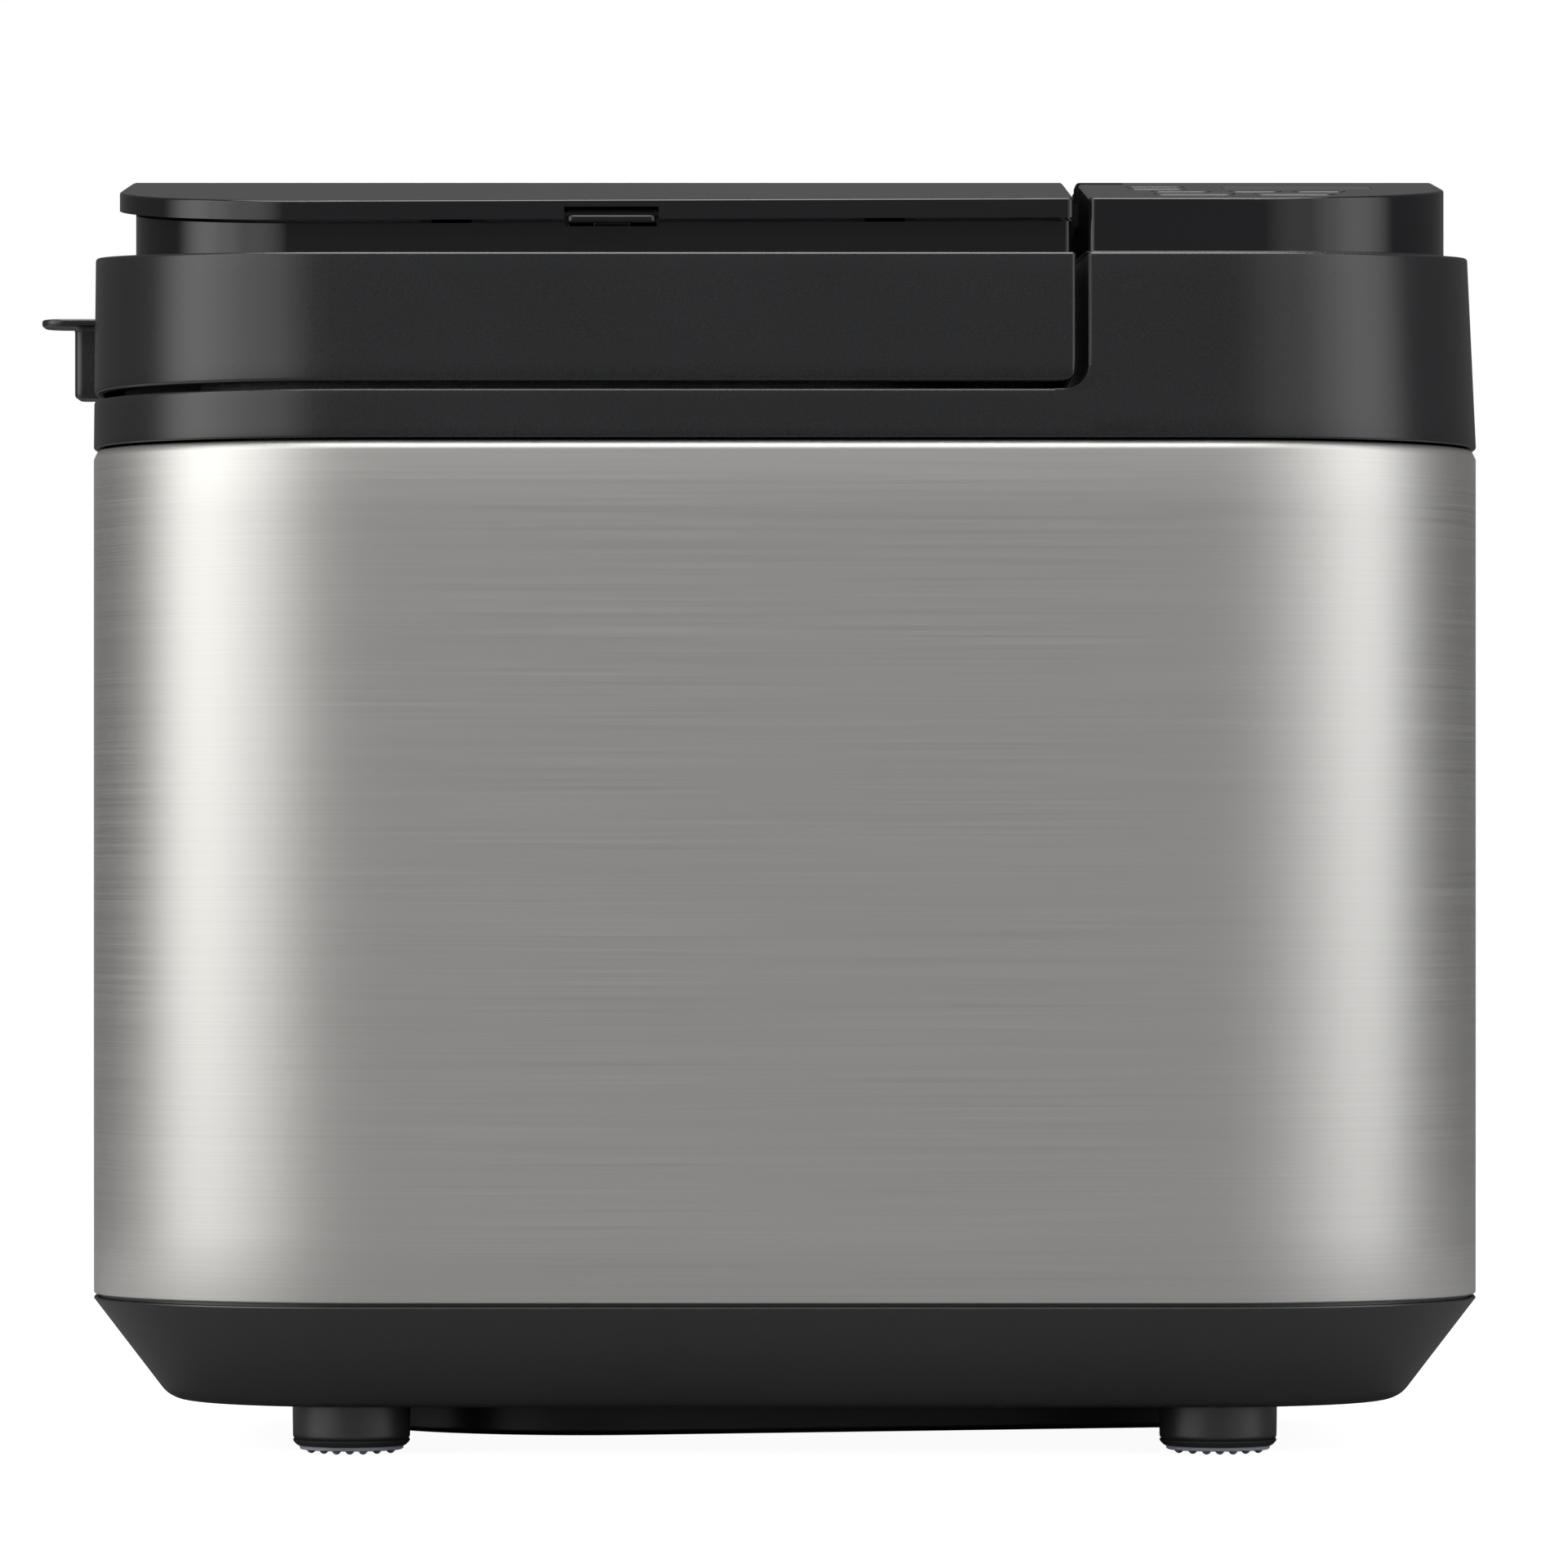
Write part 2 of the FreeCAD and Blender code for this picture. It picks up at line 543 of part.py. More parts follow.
# ---------------------------------------------------------------- dispenser lid and its latch
def dispenser_lid():
    x0, x1, y0, y1 = PLATE_BOX
    shape = prism(x0, x1, y0, y1, 320, 380, PLATE_RADII)
    shape = shape.common(lid_roof()).cut(lid_roof(PLATE_DEPTH))
    shape = rounded(shape, 0.7, lambda e: abs(middle(e).z - roof_z(middle(e).y)) < 1.3 and middle(e).z > 345)
    hollow = prism(x0 + SKIN, x1 - SKIN, y0 + SKIN, y1 - SKIN, 320, 380, (55, 1, 1, 55))
    shape = shape.cut(hollow.common(lid_roof(SKIN)))
    lx0, lx1 = LATCH_X
    shape = shape.cut(box(lx0, lx1, y0 - 5, y0 + 10, 330, LATCH_Z[1]))
    ears = [fused(box(x - 6, x + 6, y1 - SKIN, y1, PLATE_HINGE_Z - 2.6, PLATE_HINGE_Z + 7),
                  box(x - 6, x + 6, y1 - SKIN, PLATE_HINGE_Y, PLATE_HINGE_Z - 2.6, PLATE_HINGE_Z + 2.6),
                  rod(2.6, (x - 6, PLATE_HINGE_Y, PLATE_HINGE_Z), X_AXIS, 12)) for x in PLATE_EARS_X]
    shape = fused(shape, *ears)
    return shape.cut(rod(1.2 + RUNNING, (-150, PLATE_HINGE_Y, PLATE_HINGE_Z), X_AXIS, 230))


PLATE_EARS_X = (-100.0, 30.0)


def plate_hinge():
    """Brackets on the lid's back edge, with a pin through each of the dispenser lid's ears."""
    parts = []
    for x in PLATE_EARS_X:
        lugs = [box(x + dx, x + dx + 3, 99, PLATE_HINGE_Y + 2.4, 343.6, PLATE_HINGE_Z + 2.0)
                for dx in (-9.6, 6.6)]
        pin = rod(1.2, (x - 9.6, PLATE_HINGE_Y, PLATE_HINGE_Z), X_AXIS, 19.2)
        parts.append(fused(pin, *lugs).cut(prism(*RISER_BOX, 320, 380, RISER_RADII)))
    return Part.makeCompound(parts)


def lid_latch():
    lx0, lx1 = LATCH_X
    tab = box(lx0 + 0.9, lx1 - 0.9, -106.8, -98.5, 343.1, 345.2)
    tab = rounded(tab, 1.6, lambda e: abs(middle(e).y + 106.8) < 0.1 and e.BoundBox.ZLength > 1)
    hook = box(lx0 + 8, lx1 - 8, -99.5, -96.5, 337.4, 345.2)
    return fused(tab, hook)


# ---------------------------------------------------------------- baking chamber
def baking_chamber():
    shell = chamber_prism(SHEET, CHAMBER_FLOOR_Z - SHEET, 282.0).cut(chamber_prism(0, CHAMBER_FLOOR_Z, 290))
    lip = chamber_prism(5, 281.0, 282.0).cut(chamber_prism(0, 270, 290))
    shape = fused(shell, lip)
    shape = shape.cut(post(7.0, 50, 60, CHAMBER_X, 0))
    shape = shape.cut(rod(3.0, (40, 30, 180), X_AXIS, 12))
    return shape.cut(rod(4.0, (40, -30, 72), X_AXIS, 12)).cut(rod(4.0, (40, -16, 72), X_AXIS, 12))


def pan_socket():
    shape = ring(34, 30.5, CHAMBER_FLOOR_Z, 67, CHAMBER_X)
    base = ring(34, 12, CHAMBER_FLOOR_Z, CHAMBER_FLOOR_Z + 1.5, CHAMBER_X)
    return fused(shape, base)


def heater_element():
    hx, hy = 93.0, 77.0
    wire = rounded_wire(CHAMBER_X - hx, CHAMBER_X + hx, -hy, hy, 72, 30)
    first = wire.Edges[0]
    start, way = first.valueAt(first.FirstParameter), first.tangentAt(first.FirstParameter)
    circle = Part.Wire(Part.makeCircle(3.2, start, way))
    loop = wire.makePipeShell([circle], True, True)
    legs = [rod(3.2, (CHAMBER_X + hx, y, 72), X_AXIS, 20) for y in (-30, -16)]
    return fused(loop, *legs)


def heater_clips():
    clips = []
    for sx in (-1, 1):
        for y in (-40, 40):
            x = CHAMBER_X + sx * 93.0
            clips.append(box(x - 4.6, x + 4.6, y - 3, y + 3, CHAMBER_FLOOR_Z, 68.7))
    return Part.makeCompound(clips)


def temperature_sensor():
    return fused(rod(2.9, (34, 30, 180), X_AXIS, 22), rod(6, (47.1, 30, 180), X_AXIS, 5))


def chassis_frame():
    plate = casing_prism(6, 44.2, 46.2).cut(post(8, 40, 50, CHAMBER_X, 0)).cut(post(4.5, 40, 50, MOTOR_X, 0))
    posts = [post(5, 46, 57, CHAMBER_X + sx * 70, sy * 55) for sx, sy in FOOT_SIGNS]
    return fused(plate, *posts)


def bearing_housing():
    return fused(ring(12, 7, 46.2, 57.0, CHAMBER_X), ring(20, 7, 46.2, 48.2, CHAMBER_X))


def shaft_bearings():
    rings = [ring(7, SHAFT_R + RUNNING, z0, z0 + 4.5, CHAMBER_X) for z0 in (46.4, 52.3)]
    return Part.makeCompound(rings)


# ---------------------------------------------------------------- drive
def pulley(r, hub_r, bore, x):
    z0, z1 = BELT_Z
    flanges = [post(r + 1.2, z0 - 1.0, z0 - 0.1, x), post(r + 1.2, z1 + 0.1, z1 + 1.0, x)]
    shape = fused(post(r, z0 - 0.2, z1 + 0.2, x), *flanges)
    if r > 30:
        shape = shape.cut(ring(r - 5, hub_r + 6, z0 + 1.2, z1 + 2, x))
        shape = fused(shape, post(hub_r, z0, 22, x))
    return shape.cut(post(bore, 0, 60, x))


def large_pulley():
    return pulley(LARGE_PULLEY_R, 9.0, SHAFT_R, CHAMBER_X)


def small_pulley():
    return pulley(SMALL_PULLEY_R, 9.0, 3.0, MOTOR_X)


def drive_belt():
    z0, z1 = BELT_Z
    z0, z1 = z0 + 0.3, z1 - 0.3
    inner = BELT_GAP
    outer = inner + BELT_THICK
    big, small = LARGE_PULLEY_R, SMALL_PULLEY_R
    loop = hull_plan(CHAMBER_X, big + outer, MOTOR_X, small + outer, z0, z1)
    return loop.cut(hull_plan(CHAMBER_X, big + inner, MOTOR_X, small + inner, z0 - 1, z1 + 1))


def drive_shaft():
    return post(SHAFT_R, 6.8, 70.0, CHAMBER_X)


def drive_dog():
    lugs = [box(CHAMBER_X + a, CHAMBER_X + b, -2.5, 2.5, 65, 73.5) for a, b in ((-9, -5), (5, 9))]
    return fused(post(9.5, 62, 68, CHAMBER_X), *lugs).cut(post(SHAFT_R, 60, 70, CHAMBER_X))


def driven_dog():
    lugs = [box(CHAMBER_X - 2.5, CHAMBER_X + 2.5, a, b, 70.5, 77) for a, b in ((-9, -5), (5, 9))]
    return fused(post(9.5, 74.0, 77.5, CHAMBER_X), *lugs)


def blade_spindle():
    return post(SHAFT_R, 77.5, 106, CHAMBER_X)


def kneading_blade():
    hub = Part.makeCone(9.0, 7.0, 22, V(CHAMBER_X, 0, PAN_FLOOR_Z + 3.0), Z_AXIS)
    profile = [(0, 86.5), (50, 86.5), (47, 100), (30, 114), (0, 106)]
    fin = extrude_xz([(CHAMBER_X + x, z) for x, z in profile], -2.4, 2.4)
    fin = fin.cut(above_z(107).common(box(CHAMBER_X - 10, CHAMBER_X + 6, -10, 10, 0, 400)))
    return fused(hub, fin).cut(post(SHAFT_R, 70, 106, CHAMBER_X))


# ---------------------------------------------------------------- motor
def motor_can():
    can = ring(34, 31.5, 52, 104, MOTOR_X)
    ends = [ring(34, 8, z, z + 2, MOTOR_X) for z in (50, 104)]
    return fused(can, *ends)


def motor_bushes():
    rings = [ring(8, 3.0 + RUNNING, z, z + 5, MOTOR_X) for z in (47, 104)]
    return Part.makeCompound(rings)


def motor_bracket():
    plate = prism(MOTOR_X - 40, MOTOR_X + 40, -38, 38, 48.2, 50, 8).cut(post(8, 40, 60, MOTOR_X, 0))
    legs = [post(4, 46.2, 48.3, MOTOR_X + sx * 34, sy * 32) for sx, sy in FOOT_SIGNS]
    return fused(plate, *legs)


def motor_shaft():
    return post(3.0, 6.8, 112, MOTOR_X)


def motor_rotor():
    return ring(28, 3.0, 58, 98, MOTOR_X)


# ---------------------------------------------------------------- bread pan
def pan_section(grow, z):
    t = (z - PAN_FLOOR_Z) / (PAN_RIM_Z - PAN_FLOOR_Z)
    hx = PAN_FOOT_HALF[0] + t * (PAN_TOP_HALF[0] - PAN_FOOT_HALF[0]) + grow
    hy = PAN_FOOT_HALF[1] + t * (PAN_TOP_HALF[1] - PAN_FOOT_HALF[1]) + grow
    return rounded_wire(CHAMBER_X - hx, CHAMBER_X + hx, -hy, hy, z, 24 + grow)


def bread_pan():
    outer = loft(pan_section(0, PAN_FLOOR_Z), pan_section(0, PAN_RIM_Z))
    inner = loft(pan_section(-1.4, PAN_FLOOR_Z + 1.5), pan_section(-1.4, PAN_RIM_Z + 1))
    rim = Part.Face(pan_section(2.5, PAN_RIM_Z - 1.5)).extrude(V(0, 0, 1.5))
    lugs = [box(CHAMBER_X - 9, CHAMBER_X + 9, s * 66.1 - 3.7, s * 66.1 + 3.7, 204, 218.6) for s in (-1, 1)]
    shape = fused(outer, rim, *lugs).cut(inner)
    for s in (-1, 1):
        shape = shape.cut(rod(BAIL_R + RUNNING, (CHAMBER_X, min(s * 67.2, s * 80), BAIL_PIVOT_Z), Y_AXIS, 12.8))
    return shape.cut(post(9, 70, 90, CHAMBER_X))


def pan_foot():
    return ring(29.5, 27, 60.2, PAN_FLOOR_Z, CHAMBER_X)


def pan_bush():
    bore = SHAFT_R + RUNNING
    return fused(ring(9, bore, 78.5, 84.0, CHAMBER_X), ring(13, bore, 78.5, PAN_FLOOR_Z, CHAMBER_X))


def pan_bail():
    """Wire handle pivoting on the pan's sides, lying on the rim."""
    r = BAIL_R
    side_y = 72.6
    x0, z0 = CHAMBER_X, BAIL_PIVOT_Z
    bar_x = x0 + BAIL_REACH
    arms = [rod(r, (x0, s * side_y, z0), X_AXIS, BAIL_REACH - 14) for s in (-1, 1)]
    bends = []
    for s in (-1, 1):
        elbow = Part.makeTorus(14, r, V(bar_x - 14, s * (side_y - 14), z0), Z_AXIS)
        y0, y1 = sorted((s * (side_y - 14), s * 90))
        keep = box(bar_x - 14, bar_x + 9, y0, y1, 200, 230)
        bends.append(elbow.common(keep))
    bar = rod(r, (bar_x, -side_y + 14, z0), Y_AXIS, 2 * side_y - 28)
    pins = [rod(r, (x0, min(s * 67.6, s * side_y), z0), Y_AXIS, side_y - 67.6) for s in (-1, 1)]
    knuckles = [Part.makeSphere(r, V(x0, s * side_y, z0)) for s in (-1, 1)]
    shape = fused(*arms, *bends, bar, *pins, *knuckles)
    shape.rotate(V(x0, 0, z0), V(0, -1, 0), BAIL_REST_DEG)
    return shape


# ---------------------------------------------------------------- electrics
def power_pcb():
    board = box(100, 176, 60, 61.6, 130, 230)
    bits = [box(108, 132, 46, 60.5, 140, 165),
            box(140, 165, 50, 60.5, 145, 160),
            box(110, 126, 44, 60.5, 185, 215)]
    bits += [rod(6, (146 + 14 * i, 42, 195), Y_AXIS, 18.5) for i in range(2)]
    return fused(board, *bits)


def pcb_bracket():
    shape = box(98, 178, 66.6, 68.2, 122, 236)
    pegs = [rod(2.5, (x, 61.6, z), Y_AXIS, 5.2) for x in (104, 172) for z in (134, 226)]
    foot_plate = box(98, 178, 60, 68.2, 46.2, 47.8)
    legs = [box(x, x + 6, 66.6, 68.2, 46.2, 123) for x in (98, 172)]
    return fused(shape, foot_plate, *pegs, *legs)


def power_gland():
    flange = rod(10.5, (GLAND_X, 126.0, GLAND_Z), Y_AXIS, 3.0)
    body = fused(rod(7.9, (GLAND_X, 116, GLAND_Z), Y_AXIS, 12.0), flange)
    body = body.cut(box(GLAND_X - 20, GLAND_X + 20, 128.9, 140, 40, 90))
    return body.cut(rod(GLAND_BORE_R, (GLAND_X, 110, GLAND_Z), Y_AXIS, 30))


ROOT_NODES = {
    "base_cover": base_cover, "belt_cover": belt_cover, "steel_wrap": steel_wrap, "top_frame": top_frame,
    "control_block": control_block, "display_lens": display_lens, "display_module": display_module,
    "control_pcb": control_pcb, "hinge_bracket": hinge_bracket, "hinge_pin": hinge_pin,
    "baking_chamber": baking_chamber, "pan_socket": pan_socket, "heater_element": heater_element,
    "heater_clips": heater_clips, "temperature_sensor": temperature_sensor, "chassis_frame": chassis_frame,
    "bearing_housing": bearing_housing, "shaft_bearings": shaft_bearings, "drive_belt": drive_belt,
    "motor_can": motor_can, "motor_bushes": motor_bushes, "motor_bracket": motor_bracket,
    "power_pcb": power_pcb, "pcb_bracket": pcb_bracket, "power_gland": power_gland}
MOVING_NODES = {
    "lid_shell": lid_shell, "lid_riser": lid_riser, "lid_liner": lid_liner, "lid_gasket": lid_gasket,
    "nut_bin": nut_bin, "nut_flap": nut_flap, "yeast_cup": yeast_cup, "yeast_valve": yeast_valve,
    "lid_handle": lid_handle, "hinge_arms": hinge_arms, "dispenser_lid": dispenser_lid,
    "plate_hinge": plate_hinge,
    "lid_latch": lid_latch, "large_pulley": large_pulley, "small_pulley": small_pulley,
    "drive_shaft": drive_shaft,
    "drive_dog": drive_dog, "driven_dog": driven_dog, "blade_spindle": blade_spindle,
    "kneading_blade": kneading_blade, "motor_shaft": motor_shaft, "motor_rotor": motor_rotor,
    "bread_pan": bread_pan, "pan_foot": pan_foot, "pan_bush": pan_bush, "pan_bail": pan_bail}


def main():
    os.makedirs("parts", exist_ok=True)
    for name, make in {**ROOT_NODES, **MOVING_NODES}.items():
        save(name, make())
    save("feet", at_feet(foot))
    save("foot_pads", at_feet(foot_pad))
    for name, spot in BUTTON_SPOTS.items():
        save(name, button(spot))


main()
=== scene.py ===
"""Bread machine: the looks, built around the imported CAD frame. Metres, +Z up, the front faces -Y."""
import json
import math

import bmesh
import bpy
from mathutils import Matrix, Vector

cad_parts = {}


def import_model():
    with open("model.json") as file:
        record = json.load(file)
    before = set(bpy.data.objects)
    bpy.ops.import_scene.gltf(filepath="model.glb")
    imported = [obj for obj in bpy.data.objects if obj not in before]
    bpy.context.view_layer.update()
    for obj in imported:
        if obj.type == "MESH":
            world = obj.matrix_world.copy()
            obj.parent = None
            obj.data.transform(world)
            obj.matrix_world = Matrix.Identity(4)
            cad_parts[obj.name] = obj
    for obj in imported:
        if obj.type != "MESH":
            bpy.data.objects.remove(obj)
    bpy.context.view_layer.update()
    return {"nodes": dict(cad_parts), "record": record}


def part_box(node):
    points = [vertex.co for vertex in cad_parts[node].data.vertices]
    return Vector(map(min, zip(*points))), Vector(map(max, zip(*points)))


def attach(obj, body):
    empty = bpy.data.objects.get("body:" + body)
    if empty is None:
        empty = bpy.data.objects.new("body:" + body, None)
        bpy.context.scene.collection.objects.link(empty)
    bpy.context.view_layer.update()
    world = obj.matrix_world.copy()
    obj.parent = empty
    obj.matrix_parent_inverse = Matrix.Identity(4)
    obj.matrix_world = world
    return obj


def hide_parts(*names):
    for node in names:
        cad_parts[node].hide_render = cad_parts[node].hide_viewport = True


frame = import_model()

MM = 0.001

# ------------------------------------------------------------------ places, read from the frame
WRAP_LOW, WRAP_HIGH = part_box("steel_wrap")
BASE_LOW, BASE_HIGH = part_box("base_cover")
RING_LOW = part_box("top_frame")[0]
SHELL_LOW, SHELL_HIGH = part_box("lid_shell")
RISER_LOW, RISER_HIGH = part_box("lid_riser")
PLATE_LOW, PLATE_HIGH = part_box("dispenser_lid")
BLOCK_LOW, BLOCK_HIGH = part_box("control_block")
LATCH_LOW, LATCH_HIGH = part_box("lid_latch")
HANDLE_LOW, HANDLE_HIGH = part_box("lid_handle")
FEET_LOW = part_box("feet")[0]
PAD_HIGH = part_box("foot_pads")[1]

HALF_WIDTH = WRAP_HIGH.x
HALF_DEPTH = WRAP_HIGH.y
CORNER_R = 77.7 * MM
RING_TOP = 296.1 * MM
LID_BOTTOM = SHELL_LOW.z
LID_RIGHT = SHELL_HIGH.x
CONTROL_LEFT = 83.8 * MM
BAND_FRONT_Z = 333.8 * MM
BAND_SLOPE = 0.04
BAND_LEAN = (0.7 * MM, 3.0 * MM, 1.8 * MM)     # at the left, the right, and front and back
BAND_LOFT_Z = 350 * MM      # where it has leaned in by that much
BAND_PLAN_Z = 338 * MM      # the height whose plan the band's top edge follows
ROOF_FRONT_Z = 350.0 * MM
ROOF_FRONT_Y = -106 * MM
ROOF_SLOPE = 0.1125
ROOF_BEND_Y = 0.0
ROOF_R = 250 * MM
ROOF_BACK_SLOPE = -0.09
LID_DIP = 0.9 * MM
LID_LENGTH = 190 * MM       # from the middle plane to the dispenser lid's left end
HINGE_ARMS_Y = (-3 * MM, 43 * MM)
FOOT_X, FOOT_Y = 121.5 * MM, 81 * MM
FOOT_PLACES = [(x, y) for x in (-FOOT_X, FOOT_X) for y in (-FOOT_Y, FOOT_Y)]


# ------------------------------------------------------------------ shape helpers
def roof_z(y):
    """Height of the glossy roof: a slope from the front, a round crest, a gentle fall to the back."""
    if y <= ROOF_BEND_Y:
        return ROOF_FRONT_Z + ROOF_SLOPE * (y - ROOF_FRONT_Y)
    angle = math.atan(ROOF_SLOPE)
    bend_z = ROOF_FRONT_Z + ROOF_SLOPE * (ROOF_BEND_Y - ROOF_FRONT_Y)
    cy = ROOF_BEND_Y + ROOF_R * math.sin(angle)
    cz = bend_z - ROOF_R * math.cos(angle)
    back = cy - ROOF_R * math.sin(math.atan(ROOF_BACK_SLOPE))
    if y <= back:
        return cz + math.sqrt(ROOF_R ** 2 - (y - cy) ** 2)
    return cz + math.sqrt(ROOF_R ** 2 - (back - cy) ** 2) + ROOF_BACK_SLOPE * (y - back)


def lid_roof_z(x, y):
    """The dispenser lid's roof, whose front left sits a little lower."""
    reach = max(0.0, (ROOF_BEND_Y - y) / (ROOF_BEND_Y - ROOF_FRONT_Y))
    left = min(1.0, max(0.0, (LID_RIGHT - x) / (LID_RIGHT + LID_LENGTH)))
    return roof_z(y) - LID_DIP * reach * left


def band_z(x, y):
    """Height of the matte band's sloping top."""
    return BAND_FRONT_Z + BAND_SLOPE * (y + HALF_DEPTH - 2 * MM)


def band_lean(z):
    """How far the matte band has leaned in at height z."""
    share = (z - RING_LOW.z) / (BAND_LOFT_Z - RING_LOW.z)
    return [share * lean for lean in BAND_LEAN]


ARC, STRAIGHT = 24, 28      # spans in a corner and in a side
RAMP = 0.2                  # the share of a corner over which its curvature rises or falls


def corner_curve(count, steps=1200):
    """A quarter turn from (1, 0) to (0, 1) whose curvature rises and falls smoothly at its ends."""
    middles = [(i + 0.5) / steps for i in range(steps)]
    weights = [min(1.0, t / RAMP, (1 - t) / RAMP) for t in middles]
    turn = math.pi / 2 / sum(weights)
    heading, along, across, track = 0.0, 0.0, 0.0, [(0.0, 0.0)]
    for w in weights:
        heading += turn * w
        along += math.cos(heading - turn * w / 2)
        across += math.sin(heading - turn * w / 2)
        track.append((along, across))
    return [(1 - track[i * steps // count][0] / along, track[i * steps // count][1] / across)
            for i in range(count + 1)]


CORNER = corner_curve(ARC)
CORNER_REACH = (1 - math.sqrt(0.5)) / CORNER[ARC // 2][1]     # so that it passes where the round corner does


def outline(x0, x1, y0, y1, radii):
    """Points anticlockwise round a rectangle with smooth corners; radii run front left, front right,
    back right, back left. Every outline has matching points, closer together near the corners, so that
    outlines can be skinned."""
    corners = [((x0, y0), (0, 1), (1, 0)), ((x1, y0), (-1, 0), (0, 1)),
               ((x1, y1), (0, -1), (-1, 0)), ((x0, y1), (1, 0), (0, -1))]
    ends = []
    for ((cx, cy), back, onward), r in zip(corners, radii):
        reach = r * CORNER_REACH
        ends.append([(cx + reach * (p * back[0] + q * onward[0]),
                      cy + reach * (p * back[1] + q * onward[1])) for p, q in CORNER])
    points = []
    for i in range(4):
        points += ends[i]
        (ax, ay), (bx, by) = ends[i][-1], ends[(i + 1) % 4][0]
        shares = [(1 - math.cos(math.pi * k / STRAIGHT)) / 2 for k in range(1, STRAIGHT)]
        points += [(ax + (bx - ax) * t, ay + (by - ay) * t) for t in shares]
    return points


LEAST_R = 0.15 * MM         # a corner drawn in never gets sharper than this
CUT_R = 1.2 * MM            # corner radius of the casing's plan where it is cut short


def inset_outline(shape, inset):
    """The outline of shape = (x0, x1, y0, y1, radii), drawn in by inset."""
    x0, x1, y0, y1, radii = shape
    radii = [max(r - inset, LEAST_R) for r in radii]
    return outline(x0 + inset, x1 - inset, y0 + inset, y1 - inset, radii)


def casing(z=None, x0=None, x1=None):
    """The casing's plan, at height z if it leans, or the part of it that is cut short at x0 or x1."""
    left, right, front = band_lean(z) if z is not None else (0, 0, 0)
    left_r = right_r = CORNER_R - front
    if x0 is None:
        x0 = -HALF_WIDTH + left
    else:
        left_r = CUT_R
    if x1 is None:
        x1 = HALF_WIDTH - right
    else:
        right_r = CUT_R
    return x0, x1, -HALF_DEPTH + front, HALF_DEPTH - front, (left_r, right_r, right_r, left_r)


def make_object(name, bm, material, sharp_deg=32.0):
    """Turns a bmesh into a shaded object, creased where its faces meet at more than sharp_deg."""
    bmesh.ops.remove_doubles(bm, verts=bm.verts, dist=1e-7)
    bmesh.ops.recalc_face_normals(bm, faces=bm.faces)
    for face in bm.faces:
        face.smooth = True
    limit = math.radians(sharp_deg)
    for edge in bm.edges:
        edge.smooth = not (len(edge.link_faces) == 2 and edge.calc_face_angle(0.0) > limit)
    mesh = bpy.data.meshes.new(name)
    bm.to_mesh(mesh)
    bm.free()
    obj = bpy.data.objects.new(name, mesh)
    bpy.context.scene.collection.objects.link(obj)
    mesh.materials.append(material)
    return obj


def add_ring(bm, points):
    """One vertex for each point, in order."""
    return [bm.verts.new(p) for p in points]


def skin(bm, rings, closed=False):
    """Quads between rings of matching vertices; closed joins the last to the first."""
    pairs = list(zip(rings, rings[1:])) + ([(rings[-1], rings[0])] if closed else [])
    for a, b in pairs:
        n = len(a)
        for i in range(n):
            bm.faces.new((a[i], a[(i + 1) % n], b[(i + 1) % n], b[i]))


def cap(bm, ring, z_of, steps=26):
    """Fills a ring with rings that shrink towards its middle, each point at the height z_of(x, y)."""
    cx = (min(v.co.x for v in ring) + max(v.co.x for v in ring)) / 2
    cy = (min(v.co.y for v in ring) + max(v.co.y for v in ring)) / 2
    rings = [ring]
    for k in range(1, steps):
        t = 1 - k / steps
        points = [(cx + (v.co.x - cx) * t, cy + (v.co.y - cy) * t) for v in ring]
        rings.append(add_ring(bm, [(x, y, z_of(x, y)) for x, y in points]))
    skin(bm, rings)
    centre = bm.verts.new((cx, cy, z_of(cx, cy)))
    last = rings[-1]
    for i in range(len(last)):
        bm.faces.new((last[i], last[(i + 1) % len(last)], centre))


def ring_at(bm, shape, inset, height):
    """One ring of the shape's outline at a height, which is a number or a function of (x, y)."""
    z_of = height if callable(height) else level(height)
    return add_ring(bm, [(x, y, z_of(x, y)) for x, y in inset_outline(shape, inset)])


def profile_rings(bm, shape, profile):
    """A ring of the shape's outline for each (inset, height) of a profile."""
    return [ring_at(bm, shape, inset, height) for inset, height in profile]


def raised(z_of, by):
    """The surface z_of, moved up by a number."""
    return lambda x, y: z_of(x, y) + by


QUARTER = [math.radians(18 * i) for i in range(6)]


def round_over(inset, z_of, r):
    """Profile of a rounded top edge: up the wall at inset, over to the surface z_of."""
    return [(inset + r * (1 - math.cos(t)), raised(z_of, r * (math.sin(t) - 1))) for t in QUARTER]


def round_under(inset, z_of, r):
    """Profile of a rounded lower edge: from the surface z_of, out to the wall at inset."""
    return [(inset + r * (1 - math.sin(t)), raised(z_of, r * (1 - math.cos(t)))) for t in QUARTER]


def level(z):
    """A flat surface at height z."""
    return lambda x, y: z


def lathe(bm, profile, centre, segments=48):
    """Rings of (radius, z) about a vertical line through centre; a radius of nought closes the end."""
    cx, cy = centre
    turn = [2 * math.pi * i / segments for i in range(segments)]
    rings = []
    for r, z in profile:
        if r <= 0:
            rings.append(add_ring(bm, [(cx, cy, z)]))
        else:
            rings.append(add_ring(bm, [(cx + r * math.cos(t), cy + r * math.sin(t), z) for t in turn]))
    for a, b in zip(rings, rings[1:]):
        for i in range(segments):
            j = (i + 1) % segments
            face = [a[i % len(a)], a[j % len(a)], b[j % len(b)], b[i % len(b)]]
            face = [v for k, v in enumerate(face) if v not in face[:k]]
            bm.faces.new(face)


def place(obj, body, slot, *nodes):
    """Rides obj on a body and lets it stand for CAD nodes; slot is not used."""
    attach(obj, body)
    if nodes:
        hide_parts(*nodes)
    return obj


